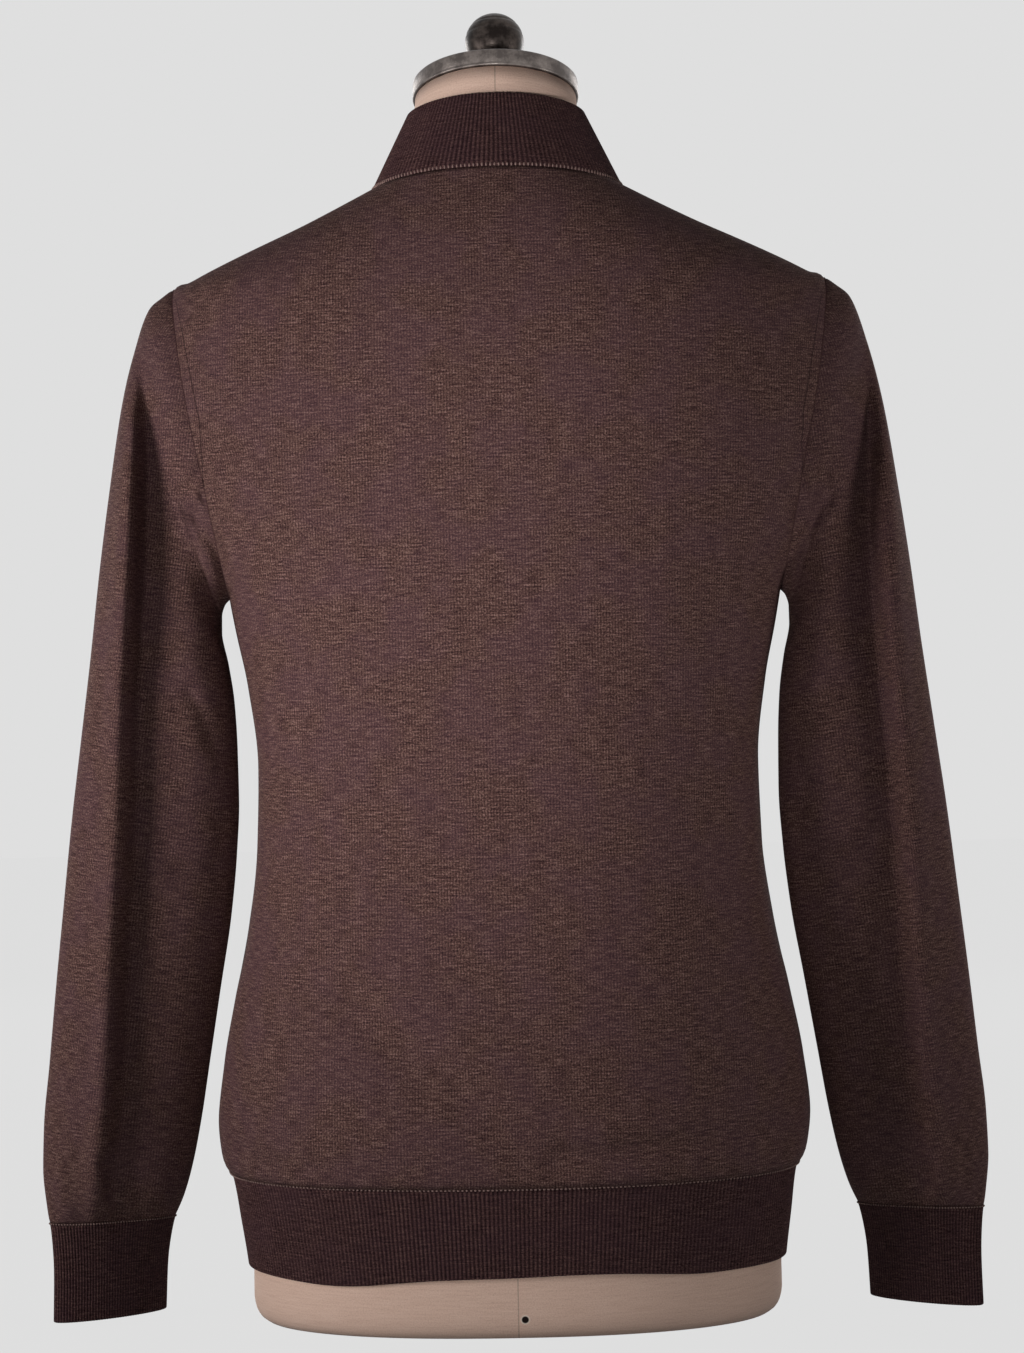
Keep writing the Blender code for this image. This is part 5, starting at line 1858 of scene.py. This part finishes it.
@dataclass
class Studio:
    """A pale floor and backdrop, soft light and the camera."""

    camera_distance: float = 2.2
    camera_height: float = 0.398
    camera_side: float = -0.0034
    camera_roll: float = radians(-1.1)
    lens: float = 93.0
    sensor: float = 36.0
    sight: float = 50.0
    air_light: float = 0.03
    air_shade: str = "#e6e4e2"
    floor_radius: float = 6.0
    dome_radius: float = 6.05
    floor_paper: StudioPaper = StudioPaper("floor_matt_paper", glow=0.985, albedo=0.02)
    dome_paper: StudioPaper = StudioPaper("dome_matt_paper", glow=1.0, albedo=0.0)
    lamps: tuple[Lamp, ...] = (
        Lamp("light_camera_left", (0.97, 0.52, 0.40), (0, 0, 0.45), 2.3, (0.35, 0.5), 100),
        Lamp("light_camera_right", (-1.03, 0.38, 0.40), (0, 0, 0.45), 0.75, (0.3, 0.45), 100),
        Spot("light_on_back", (0.5, 2.3, 0.10), (0, 0, 0.59), 117, (0.15, 0.15), 27, 0.44),
        Lamp("light_floor_bounce", (0.05, 0.7, 0.03), (0, 0, 0.03), 0.32, (0.7, 0.05), 110),
        Lamp("light_front_left", (1.3, -2.0, 0.8), (0, 0, 0.42), 14, (1.0, 1.0), 180),
        Lamp("light_front_right", (-1.3, -2.0, 0.8), (0, 0, 0.42), 12, (1.0, 1.0), 180),
    )

    def ground(self) -> None:
        """The floor and the dome of paper round it."""
        bm = bmesh.new()
        bmesh.ops.create_circle(bm, cap_ends=True, segments=96, radius=self.floor_radius)
        self.stage_piece("studio_floor", bm, self.floor_paper)
        bm = bmesh.new()
        bmesh.ops.create_uvsphere(bm, u_segments=48, v_segments=24, radius=self.dome_radius)
        bmesh.ops.reverse_faces(bm, faces=bm.faces)
        self.stage_piece("studio_dome", bm, self.dome_paper)

    def stage_piece(self, name: str, bm: Mesh, paper: StudioPaper) -> None:
        """One stage piece of paper, whose glow doesn't light the object."""
        mesh = bpy.data.meshes.new(name)
        bm.to_mesh(mesh)
        bm.free()
        mesh.materials.append(paper.make())
        piece = bpy.data.objects.new(name, mesh)
        piece.visible_diffuse = False
        piece.visible_shadow = False
        bpy.context.scene.collection.objects.link(piece)

    def lights(self) -> None:
        """The lamps and a low even world light."""
        for lamp in self.lamps:
            lamp.hang()
        world = bpy.data.worlds.new("studio_air")
        world.use_nodes = True
        background = world.node_tree.nodes["Background"]
        background.inputs["Color"].default_value = linear(self.air_shade)
        background.inputs["Strength"].default_value = self.air_light
        bpy.context.scene.world = world
        bpy.context.scene.view_settings.view_transform = "Standard"

    def camera(self) -> None:
        """The camera behind the wearer's back, level, with the photograph's slight roll."""
        data = bpy.data.cameras.new("camera")
        data.lens = self.lens
        data.sensor_width = self.sensor
        data.clip_end = self.sight
        holder = bpy.data.objects.new("camera", data)
        facing = Matrix.Rotation(pi, 4, "Z") @ Matrix.Rotation(pi / 2, 4, "X")
        place = Matrix.Translation((self.camera_side, self.camera_distance, self.camera_height))
        holder.matrix_world = place @ facing @ Matrix.Rotation(self.camera_roll, 4, "Z")
        bpy.context.scene.collection.objects.link(holder)
        bpy.context.scene.camera = holder


def keep_sizes() -> None:
    """Bring the view layer up to date."""
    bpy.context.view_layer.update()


def main() -> None:
    """Build the object piece by piece, then the studio round it."""
    logging.basicConfig(level=logging.INFO, format="%(message)s")
    finishes = Finishes()
    stand = DressForm(finishes)
    stand.torso()
    stand.cap()
    stand.knob()
    panels = BodyPanels(finishes)
    panels.back()
    for form in (
        SleeveForm(Side.LEFT, LEFT_SLEEVE_FOLDS, LEFT_ARM_FOLDS),
        SleeveForm(Side.RIGHT, RIGHT_SLEEVE_FOLDS, RIGHT_ARM_FOLDS),
    ):
        panels.front(form.side)
        pieces = SleevePieces(finishes, form.side, form)
        pieces.sleeve()
        pieces.cuff()
    HemBand(finishes).build()
    StandCollar(finishes).build()
    closure = Zip(finishes)
    for side in Side:
        closure.tape(side)
    closure.teeth()
    for node in METAL_NODES:
        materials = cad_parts[node].data.materials
        materials.clear()
        materials.append(finishes.zip_metal)
    studio = Studio()
    studio.ground()
    studio.lights()
    studio.camera()
    keep_sizes()


if __name__ == "__main__":
    main()
